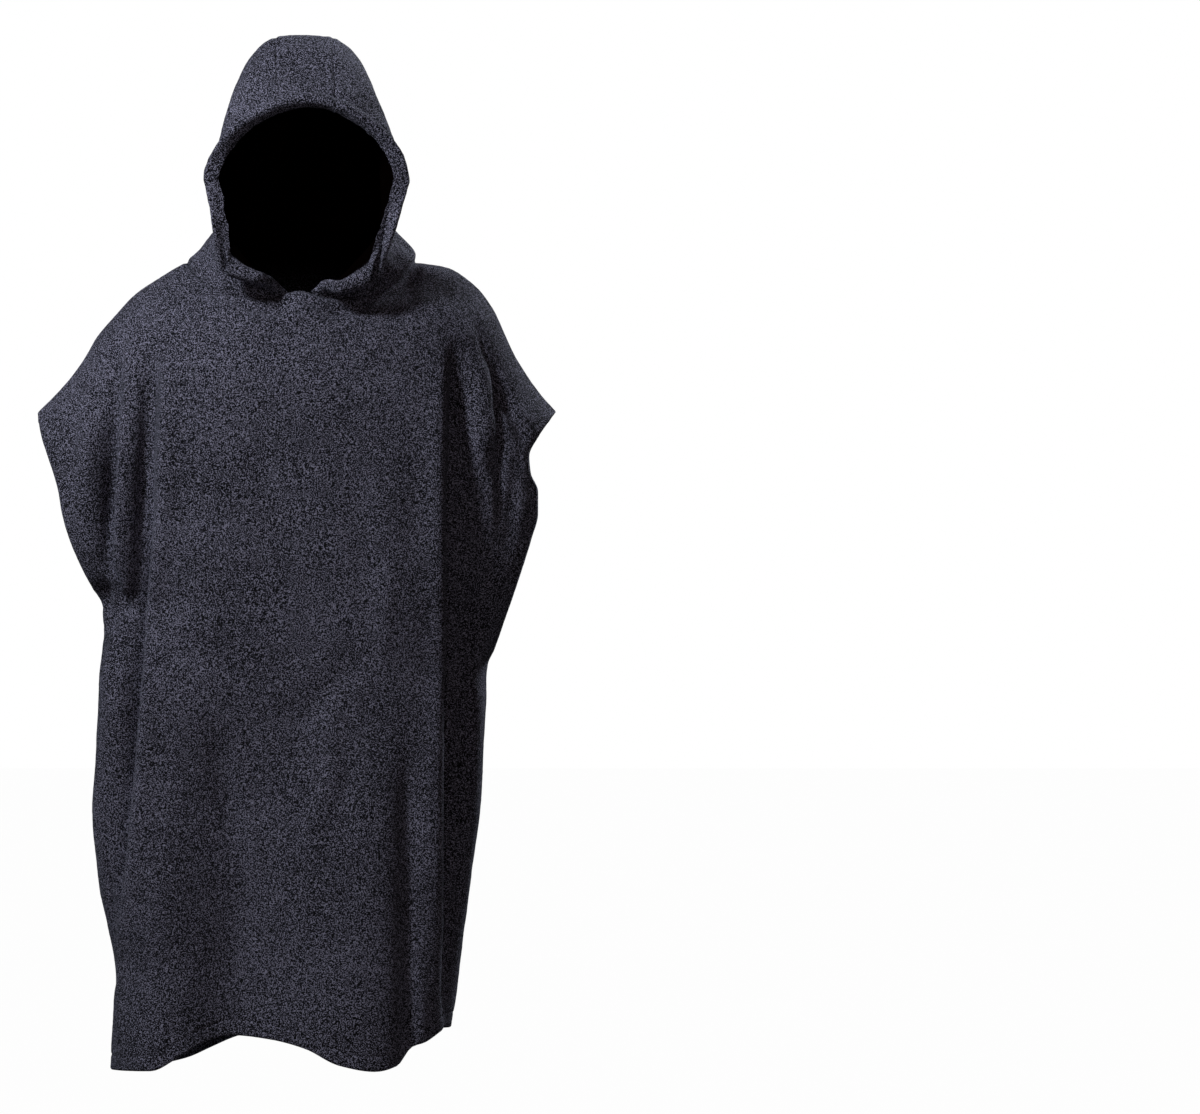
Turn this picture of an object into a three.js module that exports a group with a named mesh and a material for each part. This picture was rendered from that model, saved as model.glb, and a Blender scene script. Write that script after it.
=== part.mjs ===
// Hooded terry bath poncho, open and hollow as it hangs when it is worn, with the hood up.
// Millimetres, +Z up, -Y to the front and +X to the wearer's left, which is on the right in a
// front view. The origin lies between the shoulders, level with the sides of the neck seam.
import * as THREE from "three";

// Cloth, seams and hems
const CLOTH = 3;
const SEAM_GAP = 0.3;
const NECK_GAP = 0.9;
const HEM_DEPTH = 20;
const HEM_CLOTH = 5.5;
const HEM_STEP = 3;
const ROLL = { run: 0.045, outer: 6.5, inner: 14.5, atFoot: 0.45, footShare: 0.12 };

// Neck seam, an oval whose front hangs lower than its back, drawn with straight sides
const NECK = {
  halfWidth: 155, halfDepth: 95, frontDrop: 50, backRise: 11, frontPower: 5, centreRise: 10,
};
const NECK_CORNER = 15;
const SHOULDER_Y = 10;

// Cuffs: the corners where the shoulder seams end, and where the side seams start below them
const TIP_Z = -203;
const CUFF_END_Z = -565;
const CUFF_GAP = { front: 34, back: 38, power: 1.5 };
const CUFF_TURN_Z = { left: -470, right: -545 };
const CUFF_FADE = 30;
const CUFF_CLOSE = 40;

// Shares of a panel's half width, from its middle to its side: the neck seam's end, the two
// main folds and the line where the cuff's hem is turned
const AT_NECK = 155 / 450;
const AT_INNER = 0.46;
const AT_OUTER = 0.6;
const AT_CUFF_HEM = 0.955;

// The shoulder seams, a row for each share of their length from the neck to the cuff
const SHOULDER = [
  { share: 0, left: 155, leftZ: 0, right: 155, rightZ: 0 },
  { share: 0.13, left: 187, leftZ: -19, right: 192, rightZ: -6 },
  { share: 0.28, left: 225, leftZ: -45, right: 231, rightZ: -28 },
  { share: 0.42, left: 251, leftZ: -73, right: 259, rightZ: -62 },
  { share: 0.55, left: 275, leftZ: -101, right: 275, rightZ: -96 },
  { share: 0.68, left: 294, leftZ: -133, right: 290, rightZ: -128 },
  { share: 0.8, left: 314, leftZ: -160, right: 309, rightZ: -158 },
  { share: 0.9, left: 334, leftZ: -182, right: 326, rightZ: -181 },
  { share: 1, left: 356, leftZ: TIP_Z, right: 346, rightZ: TIP_Z },
];

// The sides below the cuffs' corners, a row for each level: the edge that the front and back
// panels share, and how wide the level curve would be. Above the turn the cuff's edge cuts the
// curve short, and below it the curve passes its widest place and tucks back in to the edge.
const SIDES = [
  { z: -203, leftEdge: 356, leftWide: 356, rightEdge: 346, rightWide: 346 },
  { z: -215, leftEdge: 355, leftWide: 366, rightEdge: 337, rightWide: 355 },
  { z: -235, leftEdge: 351, leftWide: 374, rightEdge: 323, rightWide: 361 },
  { z: -262, leftEdge: 342, leftWide: 374, rightEdge: 310, rightWide: 358 },
  { z: -285, leftEdge: 334, leftWide: 367, rightEdge: 312, rightWide: 352 },
  { z: -310, leftEdge: 327, leftWide: 357, rightEdge: 322, rightWide: 345 },
  { z: -340, leftEdge: 322, leftWide: 345, rightEdge: 322, rightWide: 335 },
  { z: -375, leftEdge: 312, leftWide: 328, rightEdge: 313, rightWide: 322 },
  { z: -420, leftEdge: 293, leftWide: 299, rightEdge: 299, rightWide: 305 },
  { z: -470, leftEdge: 267, leftWide: 267, rightEdge: 282, rightWide: 284.5 },
  { z: -520, leftEdge: 252, leftWide: 268, rightEdge: 264, rightWide: 264.4 },
  { z: -545, leftEdge: 247, leftWide: 269, rightEdge: 253, rightWide: 253 },
  { z: CUFF_END_Z, leftEdge: 243, leftWide: 270, rightEdge: 247, rightWide: 250.5 },
  { z: -600, leftEdge: 243, leftWide: 271, rightEdge: 238, rightWide: 249.5 },
  { z: -660, leftEdge: 246, leftWide: 274, rightEdge: 230, rightWide: 247 },
  { z: -740, leftEdge: 252, leftWide: 280, rightEdge: 224, rightWide: 243 },
  { z: -800, leftEdge: 249, leftWide: 277, rightEdge: 215, rightWide: 235 },
  { z: -900, leftEdge: 239, leftWide: 263, rightEdge: 202, rightWide: 221 },
  { z: -975, leftEdge: 230, leftWide: 252, rightEdge: 192, rightWide: 212 },
  { z: -1100, leftEdge: 234, leftWide: 255, rightEdge: 174, rightWide: 192 },
];

// How far the middle of each panel stands from the shoulder line, and the two powers of the
// level curve there: how flat its front is and how round it turns to the side
const PROFILE = [
  { z: 0, front: 45, back: 98, flat: 2, round: 2 },
  { z: -20, front: 60, back: 106, flat: 2, round: 2 },
  { z: -42, front: 80, back: 111, flat: 2, round: 2 },
  { z: -62, front: 99, back: 115, flat: 2.05, round: 2 },
  { z: -100, front: 121, back: 121, flat: 2.2, round: 1.85 },
  { z: -150, front: 136, back: 127, flat: 2.35, round: 1.6 },
  { z: -203, front: 144, back: 130, flat: 2.5, round: 1.35 },
  { z: -350, front: 150, back: 129, flat: 2.8, round: 1.2 },
  { z: -470, front: 152, back: 127, flat: 2.8, round: 1.5 },
  { z: -600, front: 153, back: 128, flat: 2.9, round: 2.3 },
  { z: -850, front: 156, back: 131, flat: 3, round: 2.6 },
  { z: -1100, front: 162, back: 138, flat: 3, round: 2.5 },
];

// The two main folds on each side of each panel: the line of each fold at a level, and how
// far its trough sinks in behind the cloth nearer the middle
const FOLDS = {
  frontleft: [
    { z: -100, innerX: 188, innerDepth: 0, innerReach: 26, outerX: 234, outerDepth: 0 },
    { z: -220, innerX: 194, innerDepth: 24, innerReach: 26, outerX: 246, outerDepth: 16 },
    { z: -350, innerX: 200, innerDepth: 34, innerReach: 26, outerX: 256, outerDepth: 26 },
    { z: -470, innerX: 211, innerDepth: 38, innerReach: 26, outerX: 258, outerDepth: 16 },
    { z: -560, innerX: 217, innerDepth: 38, innerReach: 26, outerX: 262, outerDepth: 0 },
    { z: -800, innerX: 236, innerDepth: 34, innerReach: 26, outerX: 266, outerDepth: 0 },
    { z: -930, innerX: 248, innerDepth: 16, innerReach: 26, outerX: 256, outerDepth: 0 },
    { z: -1100, innerX: 246, innerDepth: 0, innerReach: 26, outerX: 251, outerDepth: 0 },
  ],
  frontright: [
    { z: -100, innerX: 203, innerDepth: 0, innerReach: 26, outerX: 256, outerDepth: 0 },
    { z: -200, innerX: 205, innerDepth: 26, innerReach: 34, outerX: 270, outerDepth: 6 },
    { z: -330, innerX: 205, innerDepth: 44, innerReach: 52, outerX: 271, outerDepth: 5 },
    { z: -470, innerX: 205, innerDepth: 46, innerReach: 56, outerX: 258, outerDepth: 3 },
    { z: -560, innerX: 203, innerDepth: 44, innerReach: 40, outerX: 238, outerDepth: 0 },
    { z: -800, innerX: 200, innerDepth: 34, innerReach: 26, outerX: 221, outerDepth: 0 },
    { z: -930, innerX: 200, innerDepth: 16, innerReach: 26, outerX: 208, outerDepth: 0 },
    { z: -1100, innerX: 190, innerDepth: 0, innerReach: 26, outerX: 196, outerDepth: 0 },
  ],
  backleft: [
    { z: -100, innerX: 214, innerDepth: 0, innerReach: 26, outerX: 250, outerDepth: 0 },
    { z: -200, innerX: 218, innerDepth: 16, innerReach: 26, outerX: 274, outerDepth: 14 },
    { z: -330, innerX: 222, innerDepth: 26, innerReach: 26, outerX: 288, outerDepth: 18 },
    { z: -470, innerX: 224, innerDepth: 28, innerReach: 26, outerX: 258, outerDepth: 6 },
    { z: -560, innerX: 225, innerDepth: 28, innerReach: 26, outerX: 260, outerDepth: 0 },
    { z: -800, innerX: 230, innerDepth: 22, innerReach: 26, outerX: 264, outerDepth: 0 },
    { z: -1000, innerX: 228, innerDepth: 8, innerReach: 26, outerX: 248, outerDepth: 0 },
    { z: -1100, innerX: 226, innerDepth: 0, innerReach: 26, outerX: 248, outerDepth: 0 },
  ],
  backright: [
    { z: -110, innerX: 181, innerDepth: 0, innerReach: 26, outerX: 252, outerDepth: 0 },
    { z: -200, innerX: 182, innerDepth: 20, innerReach: 26, outerX: 260, outerDepth: 16 },
    { z: -330, innerX: 183, innerDepth: 32, innerReach: 26, outerX: 271, outerDepth: 26 },
    { z: -450, innerX: 187, innerDepth: 34, innerReach: 26, outerX: 266, outerDepth: 18 },
    { z: -560, innerX: 189, innerDepth: 32, innerReach: 26, outerX: 236, outerDepth: 0 },
    { z: -800, innerX: 186, innerDepth: 28, innerReach: 26, outerX: 218, outerDepth: 0 },
    { z: -1000, innerX: 170, innerDepth: 18, innerReach: 26, outerX: 196, outerDepth: 0 },
    { z: -1100, innerX: 165, innerDepth: 14, innerReach: 26, outerX: 192, outerDepth: 0 },
  ],
};
const FOLLOW = { from: 70, over: 70 };
const FOLD_SHAPE = { offset: 8, steep: 11, gentle: 26, lip: 0.16, lipOffset: -17, lipWidth: 15 };

// Shallow waves of the panels: a soft trough, or a ridge where the depth is negative
const WAVES = [
  { panel: "front", x: -75, width: 62, from: -1100, to: -760, fade: 300, depth: 24 },
  { panel: "front", x: 95, width: 60, from: -1100, to: -820, fade: 240, depth: -10 },
  { panel: "front", x: 148, width: 17, from: -1100, to: -760, fade: 160, depth: 13 },
  { panel: "front", x: -190, width: 38, from: -1100, to: -860, fade: 220, depth: -9 },
  { panel: "front", x: 20, width: 90, from: -620, to: -330, fade: 200, depth: 5 },
  { panel: "back", x: 20, width: 70, from: -1100, to: -800, fade: 300, depth: 20 },
  { panel: "back", x: -128, width: 26, from: -1100, to: -720, fade: 200, depth: -12 },
  { panel: "back", x: -60, width: 30, from: -1000, to: -680, fade: 160, depth: 8 },
  { panel: "back", x: 90, width: 34, from: -1100, to: -860, fade: 200, depth: -9 },
];

// The bottom hem, a row for each place across it
const HEM = [
  { x: -250, front: -1093, back: -1090 },
  { x: -205, front: -1092, back: -1094 },
  { x: -165, front: -1074, back: -1087 },
  { x: -130, front: -1055, back: -1073 },
  { x: -90, front: -1044, back: -1056 },
  { x: -40, front: -1049, back: -1044 },
  { x: 10, front: -1062, back: -1038 },
  { x: 55, front: -1084, back: -1040 },
  { x: 100, front: -1092, back: -1048 },
  { x: 130, front: -1085, back: -1056 },
  { x: 152, front: -1060, back: -1053 },
  { x: 176, front: -1050, back: -1047 },
  { x: 200, front: -1031, back: -1035 },
];

// The hood, as arches that start and end on the neck seam and lean from the face opening to
// the back of the neck. A row for each arch gives its top, its widest half width and where up
// its height that is, how round its top is, its foot (the share of its height that runs in or
// out to the seam, and how sharply), how much it narrows towards the foot, how far it leans to
// the wearer's left, and the angle around the neck seam where it stands.
const ARCHES = [
  {
    run: 0, y: -112, z: 212, half: 133, widest: 0.6, round: 1.75,
    foot: 0.12, bend: 3, taper: 0.32, lean: 11, seam: 5.5,
  },
  {
    run: 0.045, y: -99, z: 226, half: 132, widest: 0.58, round: 1.75,
    foot: 0.3, bend: 1.6, taper: 0.3, lean: 11, seam: 13,
  },
  {
    run: 0.06, y: -94, z: 231, half: 130, widest: 0.57, round: 1.85,
    foot: 0.4, bend: 1.5, taper: 0.28, lean: 11, seam: 15,
  },
  {
    run: 0.14, y: -69, z: 254, half: 120, widest: 0.58, round: 2.3,
    foot: 0.45, bend: 1.4, taper: 0.1, lean: 9, seam: 30,
  },
  {
    run: 0.22, y: -37, z: 288, half: 114, widest: 0.36, round: 2.8,
    foot: 0.35, bend: 1.3, taper: 0, lean: 6, seam: 45,
  },
  {
    run: 0.3, y: 0, z: 308, half: 109, widest: 0.1, round: 3.1,
    foot: 0.23, bend: 1.2, taper: 0, lean: 5, seam: 60,
  },
  {
    run: 0.4, y: 52, z: 299, half: 108, widest: 0, round: 3,
    foot: 0.24, bend: 1.2, taper: 0, lean: 5, seam: 75,
  },
  {
    run: 0.56, y: 106, z: 239, half: 107, widest: 0, round: 2.2,
    foot: 0.3, bend: 1.2, taper: 0, lean: 6, seam: 90,
  },
  {
    run: 0.78, y: 115, z: 125, half: 107, widest: 0, round: 2,
    foot: 0.55, bend: 1.2, taper: 0, lean: 6, seam: 105,
  },
  {
    run: 0.85, y: 101, z: 90, half: 108, widest: 0, round: 2,
    foot: 0.7, bend: 1.2, taper: 0, lean: 5, seam: 110,
  },
  {
    run: 0.93, y: 98, z: 47, half: 116, widest: 0, round: 2,
    foot: 0.9, bend: 1.2, taper: 0, lean: 3, seam: 116,
  },
  {
    run: 1, y: 105, z: 11, half: 130, widest: 0, round: 2,
    foot: 1, bend: 1.2, taper: 0, lean: 0, seam: 120,
  },
];
const ARCH_STEPS = [6, 1, 2, 2, 2, 2, 2, 3, 1, 2, 2];
const STRIP_SEAM = 165;
const STRIP_HALF_WIDTH = 39;
const LEAN = { from: -30, over: 140 };
const CHIN = { forward: 24, start: 45, full: 95, end: 210, run: 0.16 };
const CHIN_SAG = { left: 5, right: 19 };
const SHOULDER_LUMPS = [
  { hand: 1, out: 14, peak: 22, fade: 50, run: 0.4, reach: 0.17 },
  { hand: -1, out: -7, peak: 38, fade: 60, run: 0.4, reach: 0.2 },
];
const SEAM_LEAN = { out: 0.75, up: 0.66 };
const SEAM_BLEND = 0.86;
const CORNER = { run: 0.84, share: 0.8 };

// Steps of the grids
const HALF_COLUMNS = [
  { to: 0.44, steps: 2 },
  { to: AT_INNER, steps: 1 },
  { to: 0.52, steps: 3 },
  { to: AT_OUTER, steps: 2 },
  { to: 0.68, steps: 2 },
  { to: 0.95, steps: 3 },
  { to: AT_CUFF_HEM, steps: 1 },
  { to: 1, steps: 1 },
];
const PANEL_ROWS = [
  { to: 0.17, steps: 11 },
  { to: 0.45, steps: 11 },
  { to: 0.967, steps: 11 },
];
const SIDE_PANEL_COLUMNS = 15;
const AT_FOOT = 0.975;
const STRIP_COLUMNS = 2;
const TUCK_SLOPE = 2.2;
const CURVE_STEPS = 48;
const TUCK_STEPS = 8;
const NUDGE = 0.002;
const MITRE_LIMIT = 0.75;

const mix = (a, b, t) => a + (b - a) * t;
const clamp = (value, low, high) => Math.min(high, Math.max(low, value));
const bell = (distance, width) => Math.exp(-((distance / width) ** 2));
function smooth(t) {
  const c = clamp(t, 0, 1);
  return c * c * (3 - 2 * c);
}

// A table's column at a value of its key column, on a smooth curve that never overshoots.
function lookup(rows, key, column, at) {
  const up = rows[0][key] < rows[rows.length - 1][key] ? 1 : -1;
  const x = (i) => rows[i][key] * up;
  const slope = (i) => (rows[i + 1][column] - rows[i][column]) / (x(i + 1) - x(i));
  const tangent = (i) => {
    if (i === 0) return slope(0);
    if (i === rows.length - 1) return slope(i - 1);
    const [a, b] = [slope(i - 1), slope(i)];
    return a * b <= 0 ? 0 : (2 * a * b) / (a + b);
  };
  const value = clamp(at * up, x(0), x(rows.length - 1));
  let i = 0;
  while (i < rows.length - 2 && value > x(i + 1)) i += 1;
  const width = x(i + 1) - x(i);
  const t = (value - x(i)) / width;
  const [a, b] = [rows[i][column], rows[i + 1][column]];
  return (
    a * (1 + 2 * t) * (1 - t) ** 2 +
    tangent(i) * width * t * (1 - t) ** 2 +
    b * t * t * (3 - 2 * t) +
    tangent(i + 1) * width * t * t * (t - 1)
  );
}

// Grid positions from a start, out of rows that say how many steps lead to each place.
function gridSteps(start, rows) {
  const places = [start];
  for (const { to, steps } of rows) {
    const from = places[places.length - 1];
    for (let i = 1; i <= steps; i += 1) places.push(mix(from, to, i / steps));
  }
  return places;
}

// The neck seam at an angle from its front middle: the oval, and its straight sides.
function neckOval(angle) {
  const [s, c] = [Math.sin(angle), Math.cos(angle)];
  const drop = -NECK.frontDrop * (1 - Math.abs(s) ** NECK.frontPower);
  const fromCentre = THREE.MathUtils.radToDeg(Math.asin(Math.min(1, Math.abs(s))));
  const centre = smooth(1 - fromCentre / NECK_CORNER);
  const z = c > 0 ? drop + NECK.centreRise * centre : NECK.backRise * c * c;
  return new THREE.Vector3(NECK.halfWidth * s, SHOULDER_Y - NECK.halfDepth * c, z);
}

function neckPoint(angle) {
  const corner = THREE.MathUtils.degToRad(NECK_CORNER);
  const from = Math.floor(angle / corner + 1e-9);
  return neckOval(from * corner).lerp(neckOval((from + 1) * corner), angle / corner - from);
}

// The frame of the two walls that meet at the neck seam: out of the cloth, and up from the
// body to the hood.
function neckFrame(angle) {
  const along = neckOval(angle + NUDGE).sub(neckOval(angle - NUDGE)).normalize();
  const out = new THREE.Vector3(Math.sin(angle), -Math.cos(angle), 0).multiplyScalar(SEAM_LEAN.out);
  out.z = SEAM_LEAN.up;
  out.addScaledVector(along, -out.dot(along)).normalize();
  const up = new THREE.Vector3().crossVectors(out, along).normalize();
  return { point: neckPoint(angle), out, up: up.z < 0 ? up.negate() : up };
}

// The widest place and the edge of one side of a panel at a level.
function sideSizes(panel, side, z) {
  if (z > TIP_Z) {
    const x = lookup(SHOULDER, `${side}Z`, side, z);
    return { wide: x, edge: x, wideY: SHOULDER_Y, edgeY: SHOULDER_Y, tuck: 0 };
  }
  const edge = lookup(SIDES, "z", `${side}Edge`, z);
  const wide = lookup(SIDES, "z", `${side}Wide`, z);
  const open = clamp((TIP_Z - z) / (TIP_Z - CUFF_END_Z), 0, 1);
  const gap = CUFF_GAP[panel] * Math.sin(Math.PI * open) ** CUFF_GAP.power;
  const outward = panel === "front" ? -1 : 1;
  const edgeY = SHOULDER_Y + outward * gap;
  const tuck = z < CUFF_TURN_Z[side] ? wide - edge : 0;
  return { wide, edge, wideY: edgeY + outward * TUCK_SLOPE * tuck, edgeY, tuck };
}

// The level curve of one side of a panel, from its middle to its edge: points with their
// length so far and the outward direction there.
function levelCurve(panel, side, z) {
  const { wide, edge, wideY, edgeY, tuck } = sideSizes(panel, side, z);
  const outward = panel === "front" ? -1 : 1;
  const middleY = SHOULDER_Y + outward * lookup(PROFILE, "z", panel, z);
  const flat = lookup(PROFILE, "z", "flat", z);
  const round = lookup(PROFILE, "z", "round", z);
  const reach = tuck > 0 ? 1 : Math.min(1, edge / wide);
  const lastTurn = Math.asin(reach ** (flat / 2));
  const curve = [];
  const add = (x, y) => {
    const last = curve[curve.length - 1];
    curve.push({ x, y, length: last ? last.length + Math.hypot(x - last.x, y - last.y) : 0 });
  };
  for (let i = 0; i <= CURVE_STEPS; i += 1) {
    const turn = (i / CURVE_STEPS) * lastTurn;
    const rise = Math.max(0, Math.cos(turn)) ** (2 / round);
    add(wide * Math.sin(turn) ** (2 / flat), mix(wideY, middleY, rise < 1e-6 ? 0 : rise));
  }
  if (tuck > 0.01) {
    const bendY = mix(wideY, edgeY, 0.6);
    for (let i = 1; i <= TUCK_STEPS; i += 1) {
      const t = i / TUCK_STEPS;
      const x = mix(wide, mix(wide, edge, t), t);
      add(x, mix(mix(wideY, bendY, t), mix(bendY, edgeY, t), t));
    }
  }
  curve.forEach((point, i) => {
    const before = curve[Math.max(0, i - 1)];
    const after = curve[Math.min(curve.length - 1, i + 1)];
    const span = Math.hypot(after.x - before.x, after.y - before.y) || 1;
    point.outX = (-outward * (after.y - before.y)) / span;
    point.outY = (outward * (after.x - before.x)) / span;
  });
  return curve;
}

// A point of a level curve at a length along it, with the outward direction there.
function onCurve(curve, length) {
  let i = 1;
  while (i < curve.length - 1 && curve[i].length < length) i += 1;
  const [a, b] = [curve[i - 1], curve[i]];
  const t = (length - a.length) / (b.length - a.length || 1);
  const [outX, outY] = [mix(a.outX, b.outX, t), mix(a.outY, b.outY, t)];
  const size = Math.hypot(outX, outY) || 1;
  return { x: mix(a.x, b.x, t), y: mix(a.y, b.y, t), outX: outX / size, outY: outY / size };
}

function lengthAtX(curve, x) {
  let i = 1;
  while (i < CURVE_STEPS && curve[i].x < x) i += 1;
  const [a, b] = [curve[i - 1], curve[i]];
  return mix(a.length, b.length, clamp((x - a.x) / (b.x - a.x || 1), 0, 1));
}

// The share of the half width that has reached the shoulder seam at a level above the cuffs.
function shareAtShoulder(side, z) {
  return z > TIP_Z ? mix(AT_NECK, 1, lookup(SHOULDER, `${side}Z`, "share", z)) : 1;
}

// Hang lines keep their share of the cloth near the shoulders, and follow the folds below.
function lengthOnCurve(curve, share, end, z, innerLength, outerLength) {
  const whole = curve[curve.length - 1].length;
  const natural = (whole * share) / end;
  const knots = [
    [0, 0],
    [AT_INNER, innerLength],
    [AT_OUTER, outerLength],
  ];
  if (z <= TIP_Z) {
    const spread = ((1 - AT_CUFF_HEM) / (1 - AT_OUTER)) * (whole - outerLength);
    knots.push([AT_CUFF_HEM, whole - mix(spread, HEM_DEPTH, smooth((TIP_Z - z) / CUFF_FADE))]);
  }
  knots.push([end, whole]);
  let i = 1;
  while (i < knots.length - 1 && share > knots[i][0]) i += 1;
  const [a, b] = [knots[i - 1], knots[i]];
  const followed = mix(a[1], b[1], (share - a[0]) / (b[0] - a[0]));
  return mix(natural, followed, smooth((-z - FOLLOW.from) / FOLLOW.over));
}

function foldDepth(distance, depth, gentle = FOLD_SHAPE.gentle) {
  const { offset, steep, lip, lipOffset, lipWidth } = FOLD_SHAPE;
  const trough = bell(distance - offset, distance < offset ? steep : gentle);
  return depth * (trough - lip * bell(distance - lipOffset, lipWidth));
}

function waveDepth(panel, x, z) {
  let depth = 0;
  for (const wave of WAVES.filter((w) => w.panel === panel)) {
    const reach = smooth(1 - (z - wave.to) / wave.fade) * smooth(1 - (wave.from - z) / wave.fade);
    depth += wave.depth * reach * bell(x - wave.x, wave.width);
  }
  return depth;
}

// A panel's middle surface at a share of its half width and a level, on one side.
function levelPoint(panel, side, share, z) {
  const curve = levelCurve(panel, side, z);
  const whole = curve[curve.length - 1].length;
  const folds = FOLDS[panel + side];
  const room = Math.min(60, whole * 0.2);
  const outerLength = Math.min(lengthAtX(curve, lookup(folds, "z", "outerX", z)), whole - room);
  const innerX = lengthAtX(curve, lookup(folds, "z", "innerX", z));
  const innerLength = Math.min(innerX, outerLength - room / 3);
  const end = shareAtShoulder(side, z);
  const length = lengthOnCurve(curve, share, end, z, innerLength, outerLength);
  const at = onCurve(curve, length);
  const hand = side === "left" ? -1 : 1;
  const innerDepth = lookup(folds, "z", "innerDepth", z);
  const innerReach = lookup(folds, "z", "innerReach", z);
  const inner = foldDepth(length - innerLength, innerDepth, innerReach);
  const outer = foldDepth(length - outerLength, lookup(folds, "z", "outerDepth", z));
  const atEdge = smooth((whole - length) / HEM_DEPTH);
  const depth = (inner + outer) * atEdge + waveDepth(panel, hand * at.x, z) * (1 - share ** 4);
  return new THREE.Vector3(hand * (at.x - depth * at.outX), at.y - depth * at.outY, z);
}

// The top edge of a panel: the neck seam in the middle and the shoulder seams beside it.
function topEdge(panel, side, share) {
  const hand = side === "left" ? -1 : 1;
  if (share <= AT_NECK) {
    const turn = Math.asin(clamp(share / AT_NECK, 0, 1));
    return neckPoint(hand * (panel === "front" ? turn : Math.PI - turn));
  }
  const along = (share - AT_NECK) / (1 - AT_NECK);
  const x = lookup(SHOULDER, "share", side, along);
  return new THREE.Vector3(hand * x, SHOULDER_Y, lookup(SHOULDER, "share", `${side}Z`, along));
}

const TOP_FADE = 75;
function panelPoint(panel, u, drop) {
  const side = u < 0 ? "left" : "right";
  const share = Math.abs(u);
  const top = topEdge(panel, side, share);
  const hemX = levelPoint(panel, side, Math.min(share, AT_OUTER), HEM[4][panel]).x;
  const hem = lookup(HEM, "x", panel, hemX);
  const height = top.z - hem;
  const z = top.z - (drop < 0 ? height + drop : height * drop);
  const point = levelPoint(panel, side, share, z);
  const start = levelPoint(panel, side, share, top.z);
  return point.addScaledVector(top.sub(start), smooth(1 - (start.z - z) / TOP_FADE));
}

// A closed wall out of rows of points, each with its place on the outer and the inner side.
function wallGeometry(rows) {
  const [high, wide] = [rows.length, rows[0].length];
  const sides = ["outer", "inner"];
  const positions = sides.flatMap((s) => rows.flat().flatMap((p) => p[s].toArray()));
  const index = [];
  const at = (s, i, j) => s * high * wide + i * wide + j;
  const quad = (a, b, c, d) => index.push(a, b, c, a, c, d);
  const span = (i, j, k, l) => rows[i][j].outer.distanceTo(rows[k][l].outer);
  for (let i = 0; i + 1 < high; i += 1) {
    for (let j = 0; j + 1 < wide; j += 1) {
      const across = span(i + 1, j, i, j + 1) < span(i, j, i + 1, j + 1);
      for (const s of [0, 1]) {
        const corners = [at(s, i, j), at(s, i + 1, j), at(s, i + 1, j + 1), at(s, i, j + 1)];
        if (across) corners.push(corners.shift());
        if (s === 1) corners.splice(1, 3, corners[3], corners[2], corners[1]);
        quad(...corners);
      }
    }
    quad(at(0, i, 0), at(1, i, 0), at(1, i + 1, 0), at(0, i + 1, 0));
    const last = wide - 1;
    quad(at(0, i, last), at(0, i + 1, last), at(1, i + 1, last), at(1, i, last));
  }
  for (let j = 0; j + 1 < wide; j += 1) {
    quad(at(0, 0, j), at(0, 0, j + 1), at(1, 0, j + 1), at(1, 0, j));
    const end = high - 1;
    quad(at(0, end, j), at(1, end, j), at(1, end, j + 1), at(0, end, j + 1));
  }
  let volume = 0;
  const corner = (i) => new THREE.Vector3().fromArray(positions, 3 * index[i]);
  for (let i = 0; i < index.length; i += 3) {
    volume += corner(i).dot(corner(i + 1).cross(corner(i + 2)));
  }
  if (volume < 0) index.reverse();
  const geometry = new THREE.BufferGeometry();
  geometry.setAttribute("position", new THREE.Float32BufferAttribute(positions, 3));
  geometry.setIndex(index);
  geometry.computeVertexNormals();
  return geometry;
}

function wallPoint(middle, normal, outerDepth, innerDepth) {
  return {
    outer: middle.clone().addScaledVector(normal, outerDepth),
    inner: middle.clone().addScaledVector(normal, -innerDepth),
  };
}

// The direction through a grid of points at one of them, from the faces around it, made longer
// where the faces turn sharply so that the wall keeps its thickness.
function gridNormal(grid, i, j) {
  const faces = [];
  for (const [di, dj] of [[0, 0], [0, -1], [-1, 0], [-1, -1]]) {
    const [a, b] = [grid[i + di], grid[i + di + 1]];
    if (!a || !b || !a[j + dj] || !a[j + dj + 1]) continue;
    const down = b[j + dj].clone().sub(a[j + dj + 1]);
    const across = b[j + dj + 1].clone().sub(a[j + dj]);
    faces.push(across.cross(down).normalize());
  }
  const normal = faces.reduce((sum, face) => sum.add(face), new THREE.Vector3()).normalize();
  const facing = Math.min(...faces.map((face) => face.dot(normal)));
  return normal.divideScalar(clamp(facing, MITRE_LIMIT, 1));
}

// The direction through the wall at a panel's seams, where the two walls have to agree.
function seamDirection(panel, u, drop) {
  const hand = u < 0 ? -1 : 1;
  const share = Math.abs(u);
  if (drop === 0 && share <= AT_NECK + NUDGE) {
    const turn = Math.asin(clamp(share / AT_NECK, 0, 1));
    return neckFrame(hand * (panel === "front" ? turn : Math.PI - turn)).out;
  }
  if (drop === 0) {
    const side = hand < 0 ? "left" : "right";
    const a = topEdge(panel, side, share - NUDGE);
    const b = topEdge(panel, side, Math.min(1, share + NUDGE));
    return new THREE.Vector3(hand * (a.z - b.z), 0, hand * (b.x - a.x)).normalize();
  }
  return null;
}

function hemThickness(u, drop, z) {
  const bottom = drop < 0 && drop >= -HEM_DEPTH;
  const inCuff = Math.min(TIP_Z - z, z - CUFF_END_Z) / CUFF_FADE;
  const cuff = Math.abs(u) >= AT_CUFF_HEM ? clamp(inCuff, 0, 1) : 0;
  return mix(0, HEM_CLOTH - CLOTH, bottom ? 1 : cuff);
}

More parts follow.
